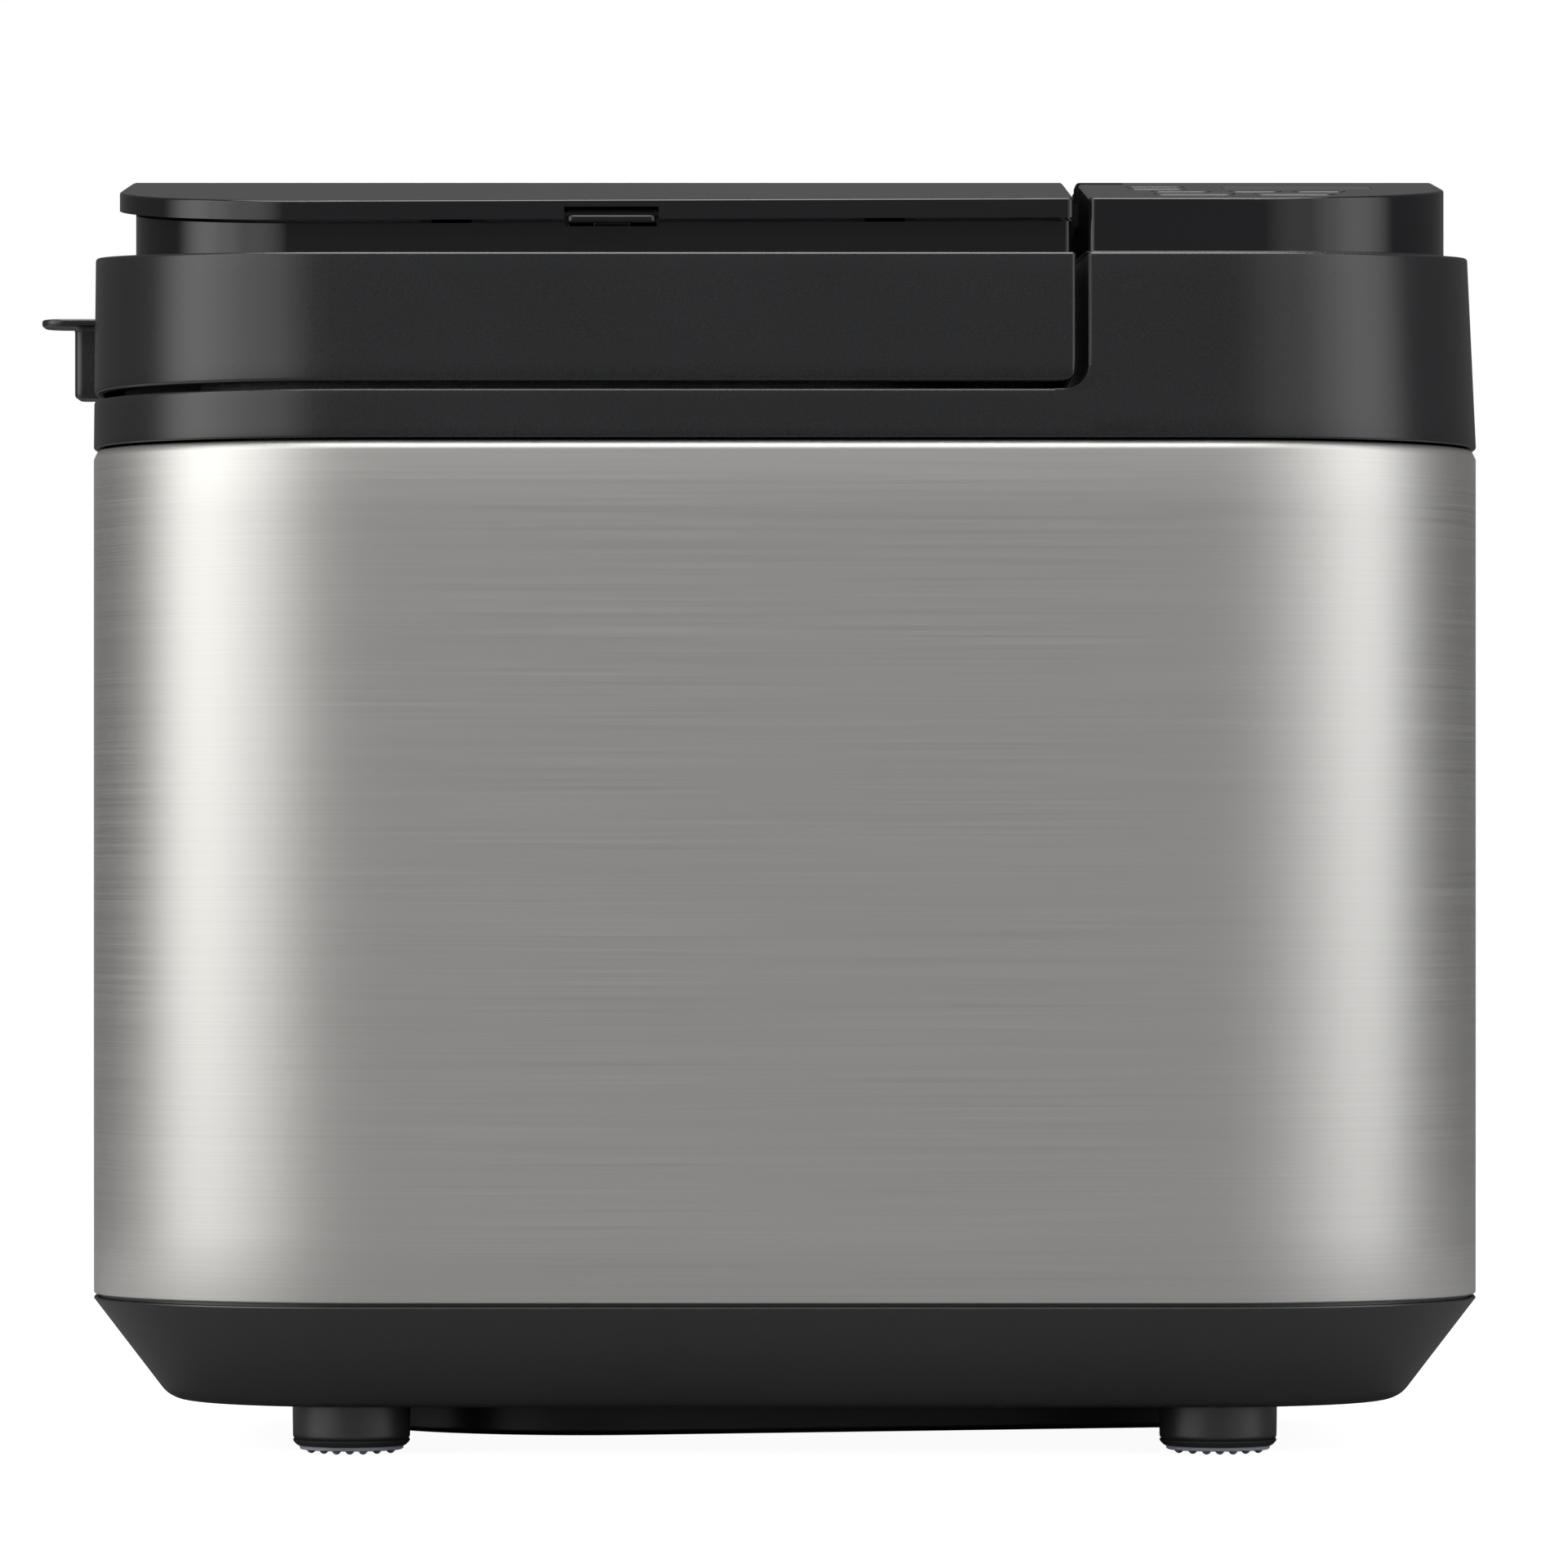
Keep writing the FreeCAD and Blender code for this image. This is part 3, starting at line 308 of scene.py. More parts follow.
def cut_with(obj, cutter):
    """Cuts a closed mesh out of another, and removes the cutter."""
    mod = obj.modifiers.new("cut", "BOOLEAN")
    mod.operation = "DIFFERENCE"
    mod.solver = "EXACT"
    mod.object = cutter
    dg = bpy.context.evaluated_depsgraph_get()
    mesh = bpy.data.meshes.new_from_object(obj.evaluated_get(dg))
    obj.modifiers.remove(mod)
    old = obj.data
    obj.data = mesh
    bpy.data.meshes.remove(old)
    bpy.data.objects.remove(cutter)


def block_cutter(x0, x1, y0, y1, z0, z1):
    """A plain block, only for cutting."""
    bm = bmesh.new()
    bmesh.ops.create_cube(bm, size=1.0)
    for v in bm.verts:
        v.co = Vector((x0 if v.co.x < 0 else x1, y0 if v.co.y < 0 else y1, z0 if v.co.z < 0 else z1))
    mesh = bpy.data.meshes.new("cutter")
    bm.to_mesh(mesh)
    bm.free()
    obj = bpy.data.objects.new("cutter", mesh)
    bpy.context.scene.collection.objects.link(obj)
    bpy.context.view_layer.update()
    return obj


# ------------------------------------------------------------------ materials
class Nodes:
    """A short way to write a node tree around one Principled shader."""

    def __init__(self, name):
        self.mat = bpy.data.materials.new(name)
        self.mat.use_nodes = True
        self.tree = self.mat.node_tree
        self.bsdf = next(n for n in self.tree.nodes if n.type == "BSDF_PRINCIPLED")
        self.place = self.add("ShaderNodeTexCoord").outputs["Object"]

    def add(self, kind, **values):
        node = self.tree.nodes.new(kind)
        for key, value in values.items():
            if key.startswith("in_"):
                node.inputs[key[3:].replace("_", " ")].default_value = value
            else:
                setattr(node, key, value)
        return node

    def link(self, a, b):
        self.tree.links.new(a, b)

    def link_or_set(self, value, socket):
        if isinstance(value, (int, float)):
            socket.default_value = value
        else:
            self.link(value, socket)

    def set(self, **values):
        """Sets the shader's own inputs, with _ for each space in a name."""
        for key, value in values.items():
            self.bsdf.inputs[key.replace("_", " ")].default_value = value

    def scaled(self, x, y, z):
        """The place on the object, scaled for a noise."""
        node = self.add("ShaderNodeMapping")
        node.inputs["Scale"].default_value = (x, y, z)
        self.link(self.place, node.inputs["Vector"])
        return node.outputs["Vector"]

    def noise(self, where, scale=1.0, detail=2.0, rough=0.5):
        node = self.add("ShaderNodeTexNoise", in_Scale=scale, in_Detail=detail, in_Roughness=rough)
        self.link(where, node.inputs["Vector"])
        return node.outputs["Fac"]

    def spread(self, value, low, high, start=0.3, end=0.7):
        """Maps a 0 to 1 value onto low to high."""
        node = self.add("ShaderNodeMapRange")
        for key, v in (("From Min", start), ("From Max", end), ("To Min", low), ("To Max", high)):
            node.inputs[key].default_value = v
        self.link(value, node.inputs["Value"])
        return node.outputs["Result"]

    def math(self, operation, a, b):
        node = self.add("ShaderNodeMath", operation=operation)
        self.link_or_set(a, node.inputs[0])
        self.link_or_set(b, node.inputs[1])
        return node.outputs["Value"]

    def blend(self, a, b, share):
        """The given share of a, and the rest of b."""
        return self.math("ADD", self.math("MULTIPLY", a, share), self.math("MULTIPLY", b, 1 - share))

    def mixed(self, factor, dark, light):
        """A colour between two, by factor."""
        node = self.add("ShaderNodeMix", data_type="RGBA")
        node.inputs[6].default_value = (*dark, 1)
        node.inputs[7].default_value = (*light, 1)
        self.link(factor, node.inputs[0])
        return node.outputs[2]

    def colour(self, factor, dark, light):
        self.link(self.mixed(factor, dark, light), self.bsdf.inputs["Base Color"])

    def roughness(self, socket):
        self.link(socket, self.bsdf.inputs["Roughness"])

    def bump(self, height, strength, distance):
        node = self.add("ShaderNodeBump", in_Strength=strength, in_Distance=distance)
        self.link(height, node.inputs["Height"])
        self.link(node.outputs["Normal"], self.bsdf.inputs["Normal"])


def shade(colour, factor):
    """A darker or lighter colour."""
    return tuple(c * factor for c in colour)


def brushed_metal(name, colour):
    """Metal brushed level, round the body: streaks are long in plan and fine in height."""
    m = Nodes(name)
    fine = m.noise(m.scaled(9.0, 9.0, 3400.0), 1.0, 3.0, 0.6)
    broad = m.noise(m.scaled(4.5, 4.5, 850.0), 1.0, 2.0)
    both = m.blend(fine, broad, 0.8)
    m.colour(m.spread(both, 0, 1), shade(colour, 0.93), shade(colour, 1.06))
    m.roughness(m.spread(both, 0.40, 0.46))
    m.bump(fine, 0.06, 0.00002)
    m.set(Metallic=1.0, Anisotropic=0.2)
    tangent = m.add("ShaderNodeTangent", direction_type="RADIAL", axis="Z")
    m.link(tangent.outputs["Tangent"], m.bsdf.inputs["Tangent"])
    return m.mat


def grained_plastic(name, colour, rough=(0.40, 0.52), depth=0.00006, strength=0.5, specular=0.5):
    """Moulded plastic with a fine spark-eroded grain that glints a little."""
    m = Nodes(name)
    speck = m.noise(m.scaled(2600, 2600, 2600), 1.0, 2.0, 0.6)
    cloud = m.noise(m.scaled(18, 18, 18), 1.0, 3.0)
    both = m.blend(speck, cloud, 0.75)
    m.colour(m.spread(both, 0, 1, 0.35, 0.68), shade(colour, 0.76), shade(colour, 1.34))
    m.roughness(m.spread(both, *rough))
    m.bump(speck, strength, depth)
    m.set(Specular_IOR_Level=specular)
    return m.mat


def polished_plastic(name, colour, painted_shade_to=None):
    """Gloss moulding: a faint flow in its polish and in its colour; left of a given x its reflection is
    nearly turned off and its polish made rough, which paints shade on it.
    """
    m = Nodes(name)
    flow = m.noise(m.scaled(9, 9, 30), 1.0, 4.0)
    dust = m.noise(m.scaled(900, 900, 900), 1.0, 1.0)
    m.colour(m.spread(flow, 0, 1), shade(colour, 0.9), shade(colour, 1.15))
    polish = m.math("ADD", m.spread(flow, 0.05, 0.09), m.spread(dust, 0.0, 0.02, 0.55, 0.8))
    # painted shade: left of the given x the surface barely reflects, so it looks as dark as a wall in shade
    if painted_shade_to is not None:
        split = m.add("ShaderNodeSeparateXYZ")
        m.link(m.place, split.inputs[0])
        edge = (painted_shade_to - 0.1 * MM, painted_shade_to)
        m.link(m.spread(split.outputs["X"], 0.02, 0.5, *edge), m.bsdf.inputs["Specular IOR Level"])
        polish = m.math("ADD", polish, m.spread(split.outputs["X"], 0.5, 0.0, *edge))
    m.roughness(polish)
    m.bump(flow, 0.05, 0.0002)
    m.set(IOR=1.5)
    return m.mat


def soft_rubber(name, colour, rough=(0.6, 0.8)):
    """Rubber or silicone with a cloudy bloom."""
    m = Nodes(name)
    bloom = m.noise(m.scaled(140, 140, 140), 1.0, 5.0, 0.6)
    m.colour(m.spread(bloom, 0, 1), shade(colour, 0.82), shade(colour, 1.1))
    m.roughness(m.spread(bloom, *rough))
    m.bump(bloom, 0.2, 0.0001)
    m.set(Sheen_Weight=0.15)
    return m.mat


def plain_metal(name, colour, rough=(0.15, 0.3), bump=0.05):
    """Pressed, turned or cast metal with an even, slightly cloudy finish."""
    m = Nodes(name)
    cloud = m.noise(m.scaled(260, 260, 260), 1.0, 4.0, 0.6)
    broad = m.noise(m.scaled(14, 14, 14), 1.0, 3.0)
    both = m.blend(cloud, broad, 0.5)
    m.colour(m.spread(both, 0, 1), shade(colour, 0.85), shade(colour, 1.05))
    m.roughness(m.spread(both, *rough))
    m.bump(cloud, bump, 0.0001)
    m.set(Metallic=1.0)
    return m.mat


def nonstick_coat(name, colour):
    """Sprayed non-stick coat with light flecks in it."""
    m = Nodes(name)
    spray = m.noise(m.scaled(900, 900, 900), 1.0, 3.0)
    fleck = m.noise(m.scaled(2600, 2600, 2600), 1.0, 0.0)
    m.colour(m.spread(fleck, 0, 1, 0.66, 0.72), colour, (0.42, 0.42, 0.44))
    m.roughness(m.spread(spray, 0.32, 0.5))
    m.bump(spray, 0.2, 0.00008)
    m.set(Metallic=0.25, Coat_Weight=0.3, Coat_Roughness=0.25)
    return m.mat


def window_film(name, colour):
    """Smoked display window."""
    m = Nodes(name)
    cloud = m.noise(m.scaled(40, 40, 40), 1.0, 3.0)
    m.colour(m.spread(cloud, 0, 1), shade(colour, 0.85), shade(colour, 1.15))
    m.roughness(m.spread(cloud, 0.03, 0.06))
    m.set(IOR=1.5, Coat_Weight=1.0, Coat_Roughness=0.02)
    return m.mat


GLOSS = (0.0085, 0.0078, 0.0095)
MATS = {
    "matte_band": grained_plastic("matte_band", (0.0163, 0.017, 0.0183), rough=(0.2, 0.28),
                                  depth=0.00003, strength=0.22, specular=0.56),
    "base_plastic": grained_plastic("base_plastic", (0.026, 0.026, 0.027), rough=(0.3, 0.4),
                                    depth=0.00003, strength=0.22, specular=0.85),
    "gloss_black": polished_plastic("gloss_black", GLOSS),
    "dark_plastic": grained_plastic("dark_plastic", (0.008, 0.008, 0.009), rough=(0.35, 0.45), depth=0.00002),
    "brushed_wrap": brushed_metal("brushed_wrap", (0.63, 0.623, 0.602)),
    "pad_rubber": soft_rubber("pad_rubber", (0.42, 0.46, 0.52)),
    "lens": window_film("lens", (0.012, 0.012, 0.014)),
    "display": grained_plastic("display", (0.2, 0.24, 0.2), depth=0.00001),
    "circuit_board": grained_plastic("circuit_board", (0.012, 0.09, 0.035), rough=(0.3, 0.45), depth=0.00002),
    "nonstick": nonstick_coat("nonstick", (0.035, 0.035, 0.038)),
    "sheet_steel": plain_metal("sheet_steel", (0.55, 0.55, 0.55)),
    "bright_steel": plain_metal("bright_steel", (0.7, 0.7, 0.7), rough=(0.08, 0.16)),
    "alloy": plain_metal("alloy", (0.62, 0.62, 0.63), rough=(0.3, 0.5), bump=0.2),
    "heater_sheath": plain_metal("heater_sheath", (0.2, 0.19, 0.18), rough=(0.4, 0.6)),
    "belt_rubber": soft_rubber("belt_rubber", (0.015, 0.015, 0.015)),
    "silicone": soft_rubber("silicone", (0.28, 0.28, 0.29), rough=(0.45, 0.6)),
    "bin_plastic": grained_plastic("bin_plastic", (0.045, 0.045, 0.05)),
    "button_plastic": grained_plastic("button_plastic", (0.03, 0.03, 0.033), rough=(0.3, 0.4), depth=0.00002),
    "brass_bush": plain_metal("brass_bush", (0.55, 0.4, 0.16), rough=(0.3, 0.45)),
}
for part in frame["record"]["subparts"]:
    node = frame["nodes"][part["node"]]
    node.data.materials.clear()
    node.data.materials.append(MATS[part["material_slot"]])
BLOCK_WALL_X = BLOCK_LOW.x + 0.3 * MM       # takes in the block's wall beside the lid, but not its roof; that wall gets painted shade
frame["nodes"]["control_block"].data.materials[0] = polished_plastic("gloss_block", GLOSS, BLOCK_WALL_X)
frame["nodes"]["hinge_arms"].data.materials[0] = MATS["dark_plastic"]


# ------------------------------------------------------------------ plans of the upper parts
def plan(low, high, left_r, right_r):
    """A shape between the fronts of two box corners, alike in front and behind."""
    return low.x, high.x, low.y, -low.y, (left_r, right_r, right_r, left_r)


RISER_SHAPE = plan(RISER_LOW, RISER_HIGH, 53 * MM, 2 * MM)
BLOCK_SHAPE = plan(BLOCK_LOW, BLOCK_HIGH, 2 * MM, 60 * MM)
PLATE_SHAPE = plan(PLATE_LOW, PLATE_HIGH, 57 * MM, 2 * MM)
CHAMBER_SHAPE = (-160 * MM, 46 * MM, -88 * MM, 88 * MM, (38 * MM,) * 4)


# ------------------------------------------------------------------ brushed wrap
WRAP_SHEET = 1.0 * MM
WRAP_BEVEL = 2.1 * MM
HEM_R = 0.5 * MM


def steel_sheet():
    """The wrap-round sheet, its top edge turned in and its lower edge hemmed."""
    low, high, t = WRAP_LOW.z, WRAP_HIGH.z, WRAP_SHEET
    profile = round_under(0, level(low), HEM_R)
    profile += [(0, low + (high - low) * k / 12) for k in range(1, 12)]
    profile += [(0, high - WRAP_BEVEL - 0.6 * MM), (0.12 * MM, high - WRAP_BEVEL),
                (1.0 * MM, high - 0.3 * MM),
                (1.6 * MM, high), (1.6 * MM + t, high), (1.6 * MM + t, high - 0.6 * MM),
                (t, high - WRAP_BEVEL - 1.0 * MM), (t, low + 0.4 * MM), (t, low)]
    bm = bmesh.new()
    skin(bm, profile_rings(bm, casing(), profile), closed=True)
    return make_object("wrap_sheet", bm, MATS["brushed_wrap"], 50)


place(steel_sheet(), "casing", "brushed_wrap", "steel_wrap")


# ------------------------------------------------------------------ matte band: lid, ring and control housing
WALL = 2.4 * MM
BAND_EDGE = 0.85 * MM       # radius of the band's top edge
RIM = 6 * MM                # width of the band's flat top
NOTCH_R = 6.3 * MM
HEEL_R = 4.0 * MM           # the lid's lower right edge
HEEL_RISE = 8 * MM          # how far up the lid that edge reaches
PROUD = 0.04 * MM           # the housing stands this far out of the ring, so that they don't flicker


def plane_share(low, share):
    """A surface some way up from the height low to the band's sloping top."""
    return lambda x, y: low + (band_z(x, y) - BAND_EDGE - low) * share


def band_shell(bm, low, foot_r, hole, x0=None, x1=None, proud=0.0):
    """A leaning shell with a rounded foot and a rounded top edge, open where the hole's outline stands."""
    low_shape, top_shape = casing(low, x0, x1), casing(BAND_PLAN_Z, x0, x1)
    rings = profile_rings(bm, low_shape, round_under(-proud, level(low), foot_r))
    for k in range(1, 7):
        z = low + (BAND_PLAN_Z - low) * k / 7
        rings.append(ring_at(bm, casing(z, x0, x1), -proud, plane_share(low + foot_r, k / 7)))
    rings += profile_rings(bm, top_shape, round_over(-proud, band_z, BAND_EDGE))
    rings += [ring_at(bm, hole, RIM, band_z), ring_at(bm, hole, RIM, raised(band_z, -WALL)),
              ring_at(bm, top_shape, WALL + 1 * MM, raised(band_z, -WALL)),
              ring_at(bm, low_shape, WALL, low + 1 * MM), ring_at(bm, low_shape, WALL, low)]
    skin(bm, rings, closed=True)


def lid_band():
    """The lid's matte side, with a rounded lower right edge."""
    bm = bmesh.new()
    band_shell(bm, LID_BOTTOM, 1.1 * MM, RISER_SHAPE, x1=LID_RIGHT)
    for v in bm.verts:
        over = v.co.x - (LID_RIGHT - HEEL_R)
        if over > 0 and v.co.z < LID_BOTTOM + HEEL_RISE:
            lift = HEEL_R - math.sqrt(max(HEEL_R ** 2 - over ** 2, 0))
            v.co.z = max(v.co.z, LID_BOTTOM + lift + (v.co.z - LID_BOTTOM) * 0.3)
    return make_object("lid_band", bm, MATS["matte_band"], 40)


def chamber_ring():
    """The ring that frames the chamber's mouth."""
    bm = bmesh.new()
    low, top = RING_LOW.z, level(RING_TOP)
    rings = profile_rings(bm, casing(low), round_under(0, level(low), HEM_R))
    for k in range(1, 4):
        z = low + (RING_TOP - low) * k / 4
        rings.append(ring_at(bm, casing(z), 0, z))
    rings += profile_rings(bm, casing(RING_TOP), round_over(0, top, BAND_EDGE))
    mouth = [(-1 * MM, RING_TOP), (0, RING_TOP - 1 * MM), (0, low), (-3 * MM, low),
             (-3 * MM, RING_TOP - WALL)]
    rings += profile_rings(bm, CHAMBER_SHAPE, mouth)
    rings += [ring_at(bm, casing(RING_TOP), WALL, RING_TOP - WALL), ring_at(bm, casing(low), WALL, low)]
    skin(bm, rings, closed=True)
    return make_object("chamber_ring", bm, MATS["matte_band"], 40)


VENTS, VENT_LOW, VENT_PITCH, VENT_HIGH = 7, 300 * MM, 4 * MM, 2 * MM
VENT_X = (92 * MM, 128 * MM)
VENT_Y = (110 * MM, 140 * MM)


def control_housing():
    """The matte housing under the control block, with vent slots at its back."""
    bm = bmesh.new()
    band_shell(bm, RING_LOW.z - PROUD / 2, HEM_R, BLOCK_SHAPE, x0=CONTROL_LEFT, proud=PROUD)
    obj = make_object("control_housing", bm, MATS["matte_band"], 40)
    for k in range(VENTS):
        z = VENT_LOW + VENT_PITCH * k
        cut_with(obj, block_cutter(*VENT_X, *VENT_Y, z, z + VENT_HIGH))
    return obj


def notch_fillet():
    """The rounded inside corner where the ring turns up into the control housing."""
    bm = bmesh.new()
    front = casing(RING_TOP)[2] + PROUD / 2
    arc = [(CONTROL_LEFT - NOTCH_R * (1 - math.sin(t)), RING_TOP + NOTCH_R * (1 - math.cos(t)))
           for t in QUARTER]
    right = CONTROL_LEFT + 1.5 * MM
    section = [(arc[0][0], RING_TOP - BAND_EDGE)] + arc + [(right, arc[-1][1]), (right, RING_TOP - BAND_EDGE)]
    near, far = (add_ring(bm, [(x, y, z) for x, z in section]) for y in (front, -front))
    skin(bm, [near, far])
    bm.faces.new(near)
    bm.faces.new(far[::-1])
    return make_object("notch_fillet", bm, MATS["matte_band"], 40)


def tube(name, points, r, material):
    """A round bar along points that lie in a plane of constant Y, with closed ends."""
    bm = bmesh.new()
    sections = []
    for i, p in enumerate(points):
        way = (Vector(points[min(i + 1, len(points) - 1)]) - Vector(points[max(i - 1, 0)])).normalized()
        side = way.cross(Vector((0, 1, 0)))
        sections.append([bm.verts.new(Vector(p) + side * r * math.cos(t) + Vector((0, r * math.sin(t), 0)))
                         for t in (math.radians(36 * k) for k in range(10))])
    skin(bm, sections)
    bm.faces.new(sections[0][::-1])
    bm.faces.new(sections[-1])
    return make_object(name, bm, material, 60)


EDGE_R = 0.4 * MM
EDGE_OUT = 0.03 * MM        # how far a fine edge stands out of the wall that it runs along


def notch_edge():
    """The fine bright edge that runs round the notch and up the housing's left side."""
    r = EDGE_R
    y = casing(RING_TOP)[2] + r - EDGE_OUT
    reach = NOTCH_R + r
    cx, cz = CONTROL_LEFT - NOTCH_R, RING_TOP + NOTCH_R
    points = [(cx - 3 * MM, y, cz - reach)]
    points += [(cx + reach * math.sin(t), y, cz - reach * math.cos(t)) for t in QUARTER]
    top = band_z(0, y) - BAND_EDGE
    for k in range(1, 6):
        z = cz + (top - cz) * k / 5
        points.append((CONTROL_LEFT + r, casing(z)[2] + r - EDGE_OUT, z))
    return tube("notch_edge", points, r, MATS["matte_band"])


place(lid_band(), "lid", "matte_band", "lid_shell")
place(chamber_ring(), "casing", "matte_band", "top_frame")
place(control_housing(), "casing", "matte_band")
place(notch_fillet(), "casing", "matte_band")
place(notch_edge(), "casing", "matte_band")


# ------------------------------------------------------------------ base
BASE_INSET = 21.9 * MM
BASE_R = 9.0 * MM
BASE_FLOOR = 20 * MM        # where the base's flat floor takes over from its rings
BASE_LIP = 3 * MM
CHAMBER_X = -57 * MM
HULL = ((CHAMBER_X, 60 * MM), (108 * MM, 20 * MM))     # x and radius of the belt cover's two ends


def hull_points(steps=40):
    """Outline round two discs on the X axis, joined by their tangents."""
    (c0, r0), (c1, r1) = HULL
    lean = math.asin((r0 - r1) / (c1 - c0))
    points = []
    for i in range(steps + 1):
        t = -math.pi / 2 + lean + (math.pi - 2 * lean) * i / steps
        points.append((c1 + r1 * math.cos(t), r1 * math.sin(t)))
    for i in range(steps + 1):
        t = math.pi / 2 - lean + (math.pi + 2 * lean) * i / steps
        points.append((c0 + r0 * math.cos(t), r0 * math.sin(t)))
    return points


def base_shell():
    """Base tray with slanting sides, a rounded foot, and a lip that stands up behind the wrap."""
    low, high = BASE_LOW.z, BASE_HIGH.z
    slant = math.atan2(high - low, BASE_INSET)
    start = BASE_INSET + BASE_R * math.tan(slant / 2)
    turns = [slant * k / 7 for k in range(8)]
    profile = [(start + BASE_FLOOR, low)]
    profile += [(start - BASE_R * math.sin(a), low + BASE_R * (1 - math.cos(a))) for a in turns]
    bend_in, bend_z = profile[-1]
    side = high - 0.5 * MM - bend_z
    profile += [(bend_in * (1 - k / 6), bend_z + side * k / 6) for k in range(1, 7)]
    profile += [(0.12 * MM, high - 0.15 * MM), (0.5 * MM, high), (2 * MM, high), (2 * MM, high + BASE_LIP),
                (WALL + 1 * MM, high + BASE_LIP), (WALL + 1 * MM, high), (BASE_INSET + WALL, low + WALL),
                (start + BASE_FLOOR, low + WALL)]
    bm = bmesh.new()
    rings = profile_rings(bm, casing(), profile)
    skin(bm, rings)
    cap(bm, rings[0], level(low), 4)
    cap(bm, rings[-1], level(low + WALL), 4)
    obj = make_object("base_shell", bm, MATS["base_plastic"], 40)
    cutter = bmesh.new()
    lower, upper = (add_ring(cutter, [(x, y, z) for x, y in hull_points()])
                    for z in (low - 5 * MM, low + 5 * MM))
    skin(cutter, [lower, upper])
    cutter.faces.new(lower[::-1])
    cutter.faces.new(upper)
    cut_with(obj, make_object("hull_cutter", cutter, MATS["base_plastic"]))
    return obj


place(base_shell(), "casing", "base_plastic", "base_cover")


# ------------------------------------------------------------------ edge beads on the glossy top
BEAD_TURNS = [math.radians(45 * k) for k in range(8)]


def bead(name, shape, inset, z_of, r, material):
    """A fine rounded edge that follows an outline on the surface z_of."""
    points = inset_outline(shape, inset)
    bm = bmesh.new()
    sections = []
    n = len(points)
    for i, (x, y) in enumerate(points):
        ax, ay = points[i - 1]
        bx, by = points[(i + 1) % n]
        side = Vector((by - ay, ax - bx)).normalized()
        sections.append(add_ring(bm, [(x + side.x * r * math.cos(t), y + side.y * r * math.cos(t),
                                       z_of(x, y) + r * math.sin(t)) for t in BEAD_TURNS]))
    skin(bm, sections, closed=True)
    return make_object(name, bm, material, 60)


BEAD_R = 0.45 * MM
BEAD_IN = BEAD_R - 0.02 * MM
ARM_SLOT_X = (83 * MM, 97.5 * MM)
ARM_SLOT_HALF = 5.4 * MM
ARM_SLOT_Z = (346 * MM, 380 * MM)


def plate_edge():
    """The dispenser lid's upper edge."""
    return bead("plate_edge", PLATE_SHAPE, BEAD_IN, lambda x, y: lid_roof_z(x, y) - BEAD_R - 0.1 * MM, BEAD_R,
                MATS["gloss_black"])


def block_edge():
    """The control block's upper edge, open where the lid's hinge arms swing through it."""
    obj = bead("block_edge", BLOCK_SHAPE, BEAD_IN, lambda x, y: roof_z(y) - BEAD_R - 0.15 * MM, BEAD_R,
               MATS["gloss_black"])
    for y in HINGE_ARMS_Y:
        cut_with(obj, block_cutter(*ARM_SLOT_X, y - ARM_SLOT_HALF, y + ARM_SLOT_HALF, *ARM_SLOT_Z))
    return obj


def block_foot():
    """The round edge of the matte top, where the control block stands on it."""
    return bead("block_foot", BLOCK_SHAPE, -0.45 * MM, lambda x, y: band_z(x, y) + 0.35 * MM, 0.5 * MM,
                MATS["matte_band"])


place(plate_edge(), "dispenser", "gloss_black")
place(block_edge(), "casing", "gloss_black")


# ------------------------------------------------------------------ handle and latch
def plan_block(bm, shape, low, high, r_low, r_high):
    """A block of the given plan with rounded lower and upper edges."""
    profile = round_under(0, level(low), r_low) + round_over(0, level(high), r_high)
    rings = profile_rings(bm, shape, profile)
    skin(bm, rings)
    cap(bm, rings[0], level(low), 5)
    cap(bm, rings[-1], level(high), 5)


TAB_HALF, TAB_R, TAB_THICK = 11 * MM, 7 * MM, 2.2 * MM
BOSS_LEFT, BOSS_HALF, BOSS_R = -204.6 * MM, 9.5 * MM, 2.5 * MM
FLARE_R = 1.8 * MM


def lifting_handle():
    """Finger tab on the lid's left side, on a boss that flares out to meet it."""
    bm = bmesh.new()
    wall = -HALF_WIDTH + 2 * MM
    tab = (HANDLE_LOW.x, wall, -TAB_HALF, TAB_HALF, (TAB_R, 1 * MM, 1 * MM, TAB_R))
    plan_block(bm, tab, HANDLE_HIGH.z - TAB_THICK, HANDLE_HIGH.z, 0.9 * MM, 0.7 * MM)
    boss = (BOSS_LEFT, wall, -BOSS_HALF, BOSS_HALF, (BOSS_R, 0.5 * MM, 0.5 * MM, BOSS_R))
    low, high = HANDLE_LOW.z, HANDLE_HIGH.z - TAB_THICK + 0.1 * MM
    profile = round_under(0, level(low), 1.2 * MM) + [(0, low + 5.8 * MM), (0, low + 12.8 * MM)]
    profile += [(-FLARE_R * (1 - math.cos(t)), high - FLARE_R * (1 - math.sin(t))) for t in QUARTER]
    rings = profile_rings(bm, boss, profile)
    skin(bm, rings)
    cap(bm, rings[0], level(low), 5)
    cap(bm, rings[-1], level(high), 5)
    return make_object("lifting_handle", bm, MATS["matte_band"], 40)


LATCH_DEPTH, LATCH_THICK = 8.3 * MM, 2.1 * MM
HOOK_IN, HOOK_THICK = 7.1 * MM, 3.0 * MM


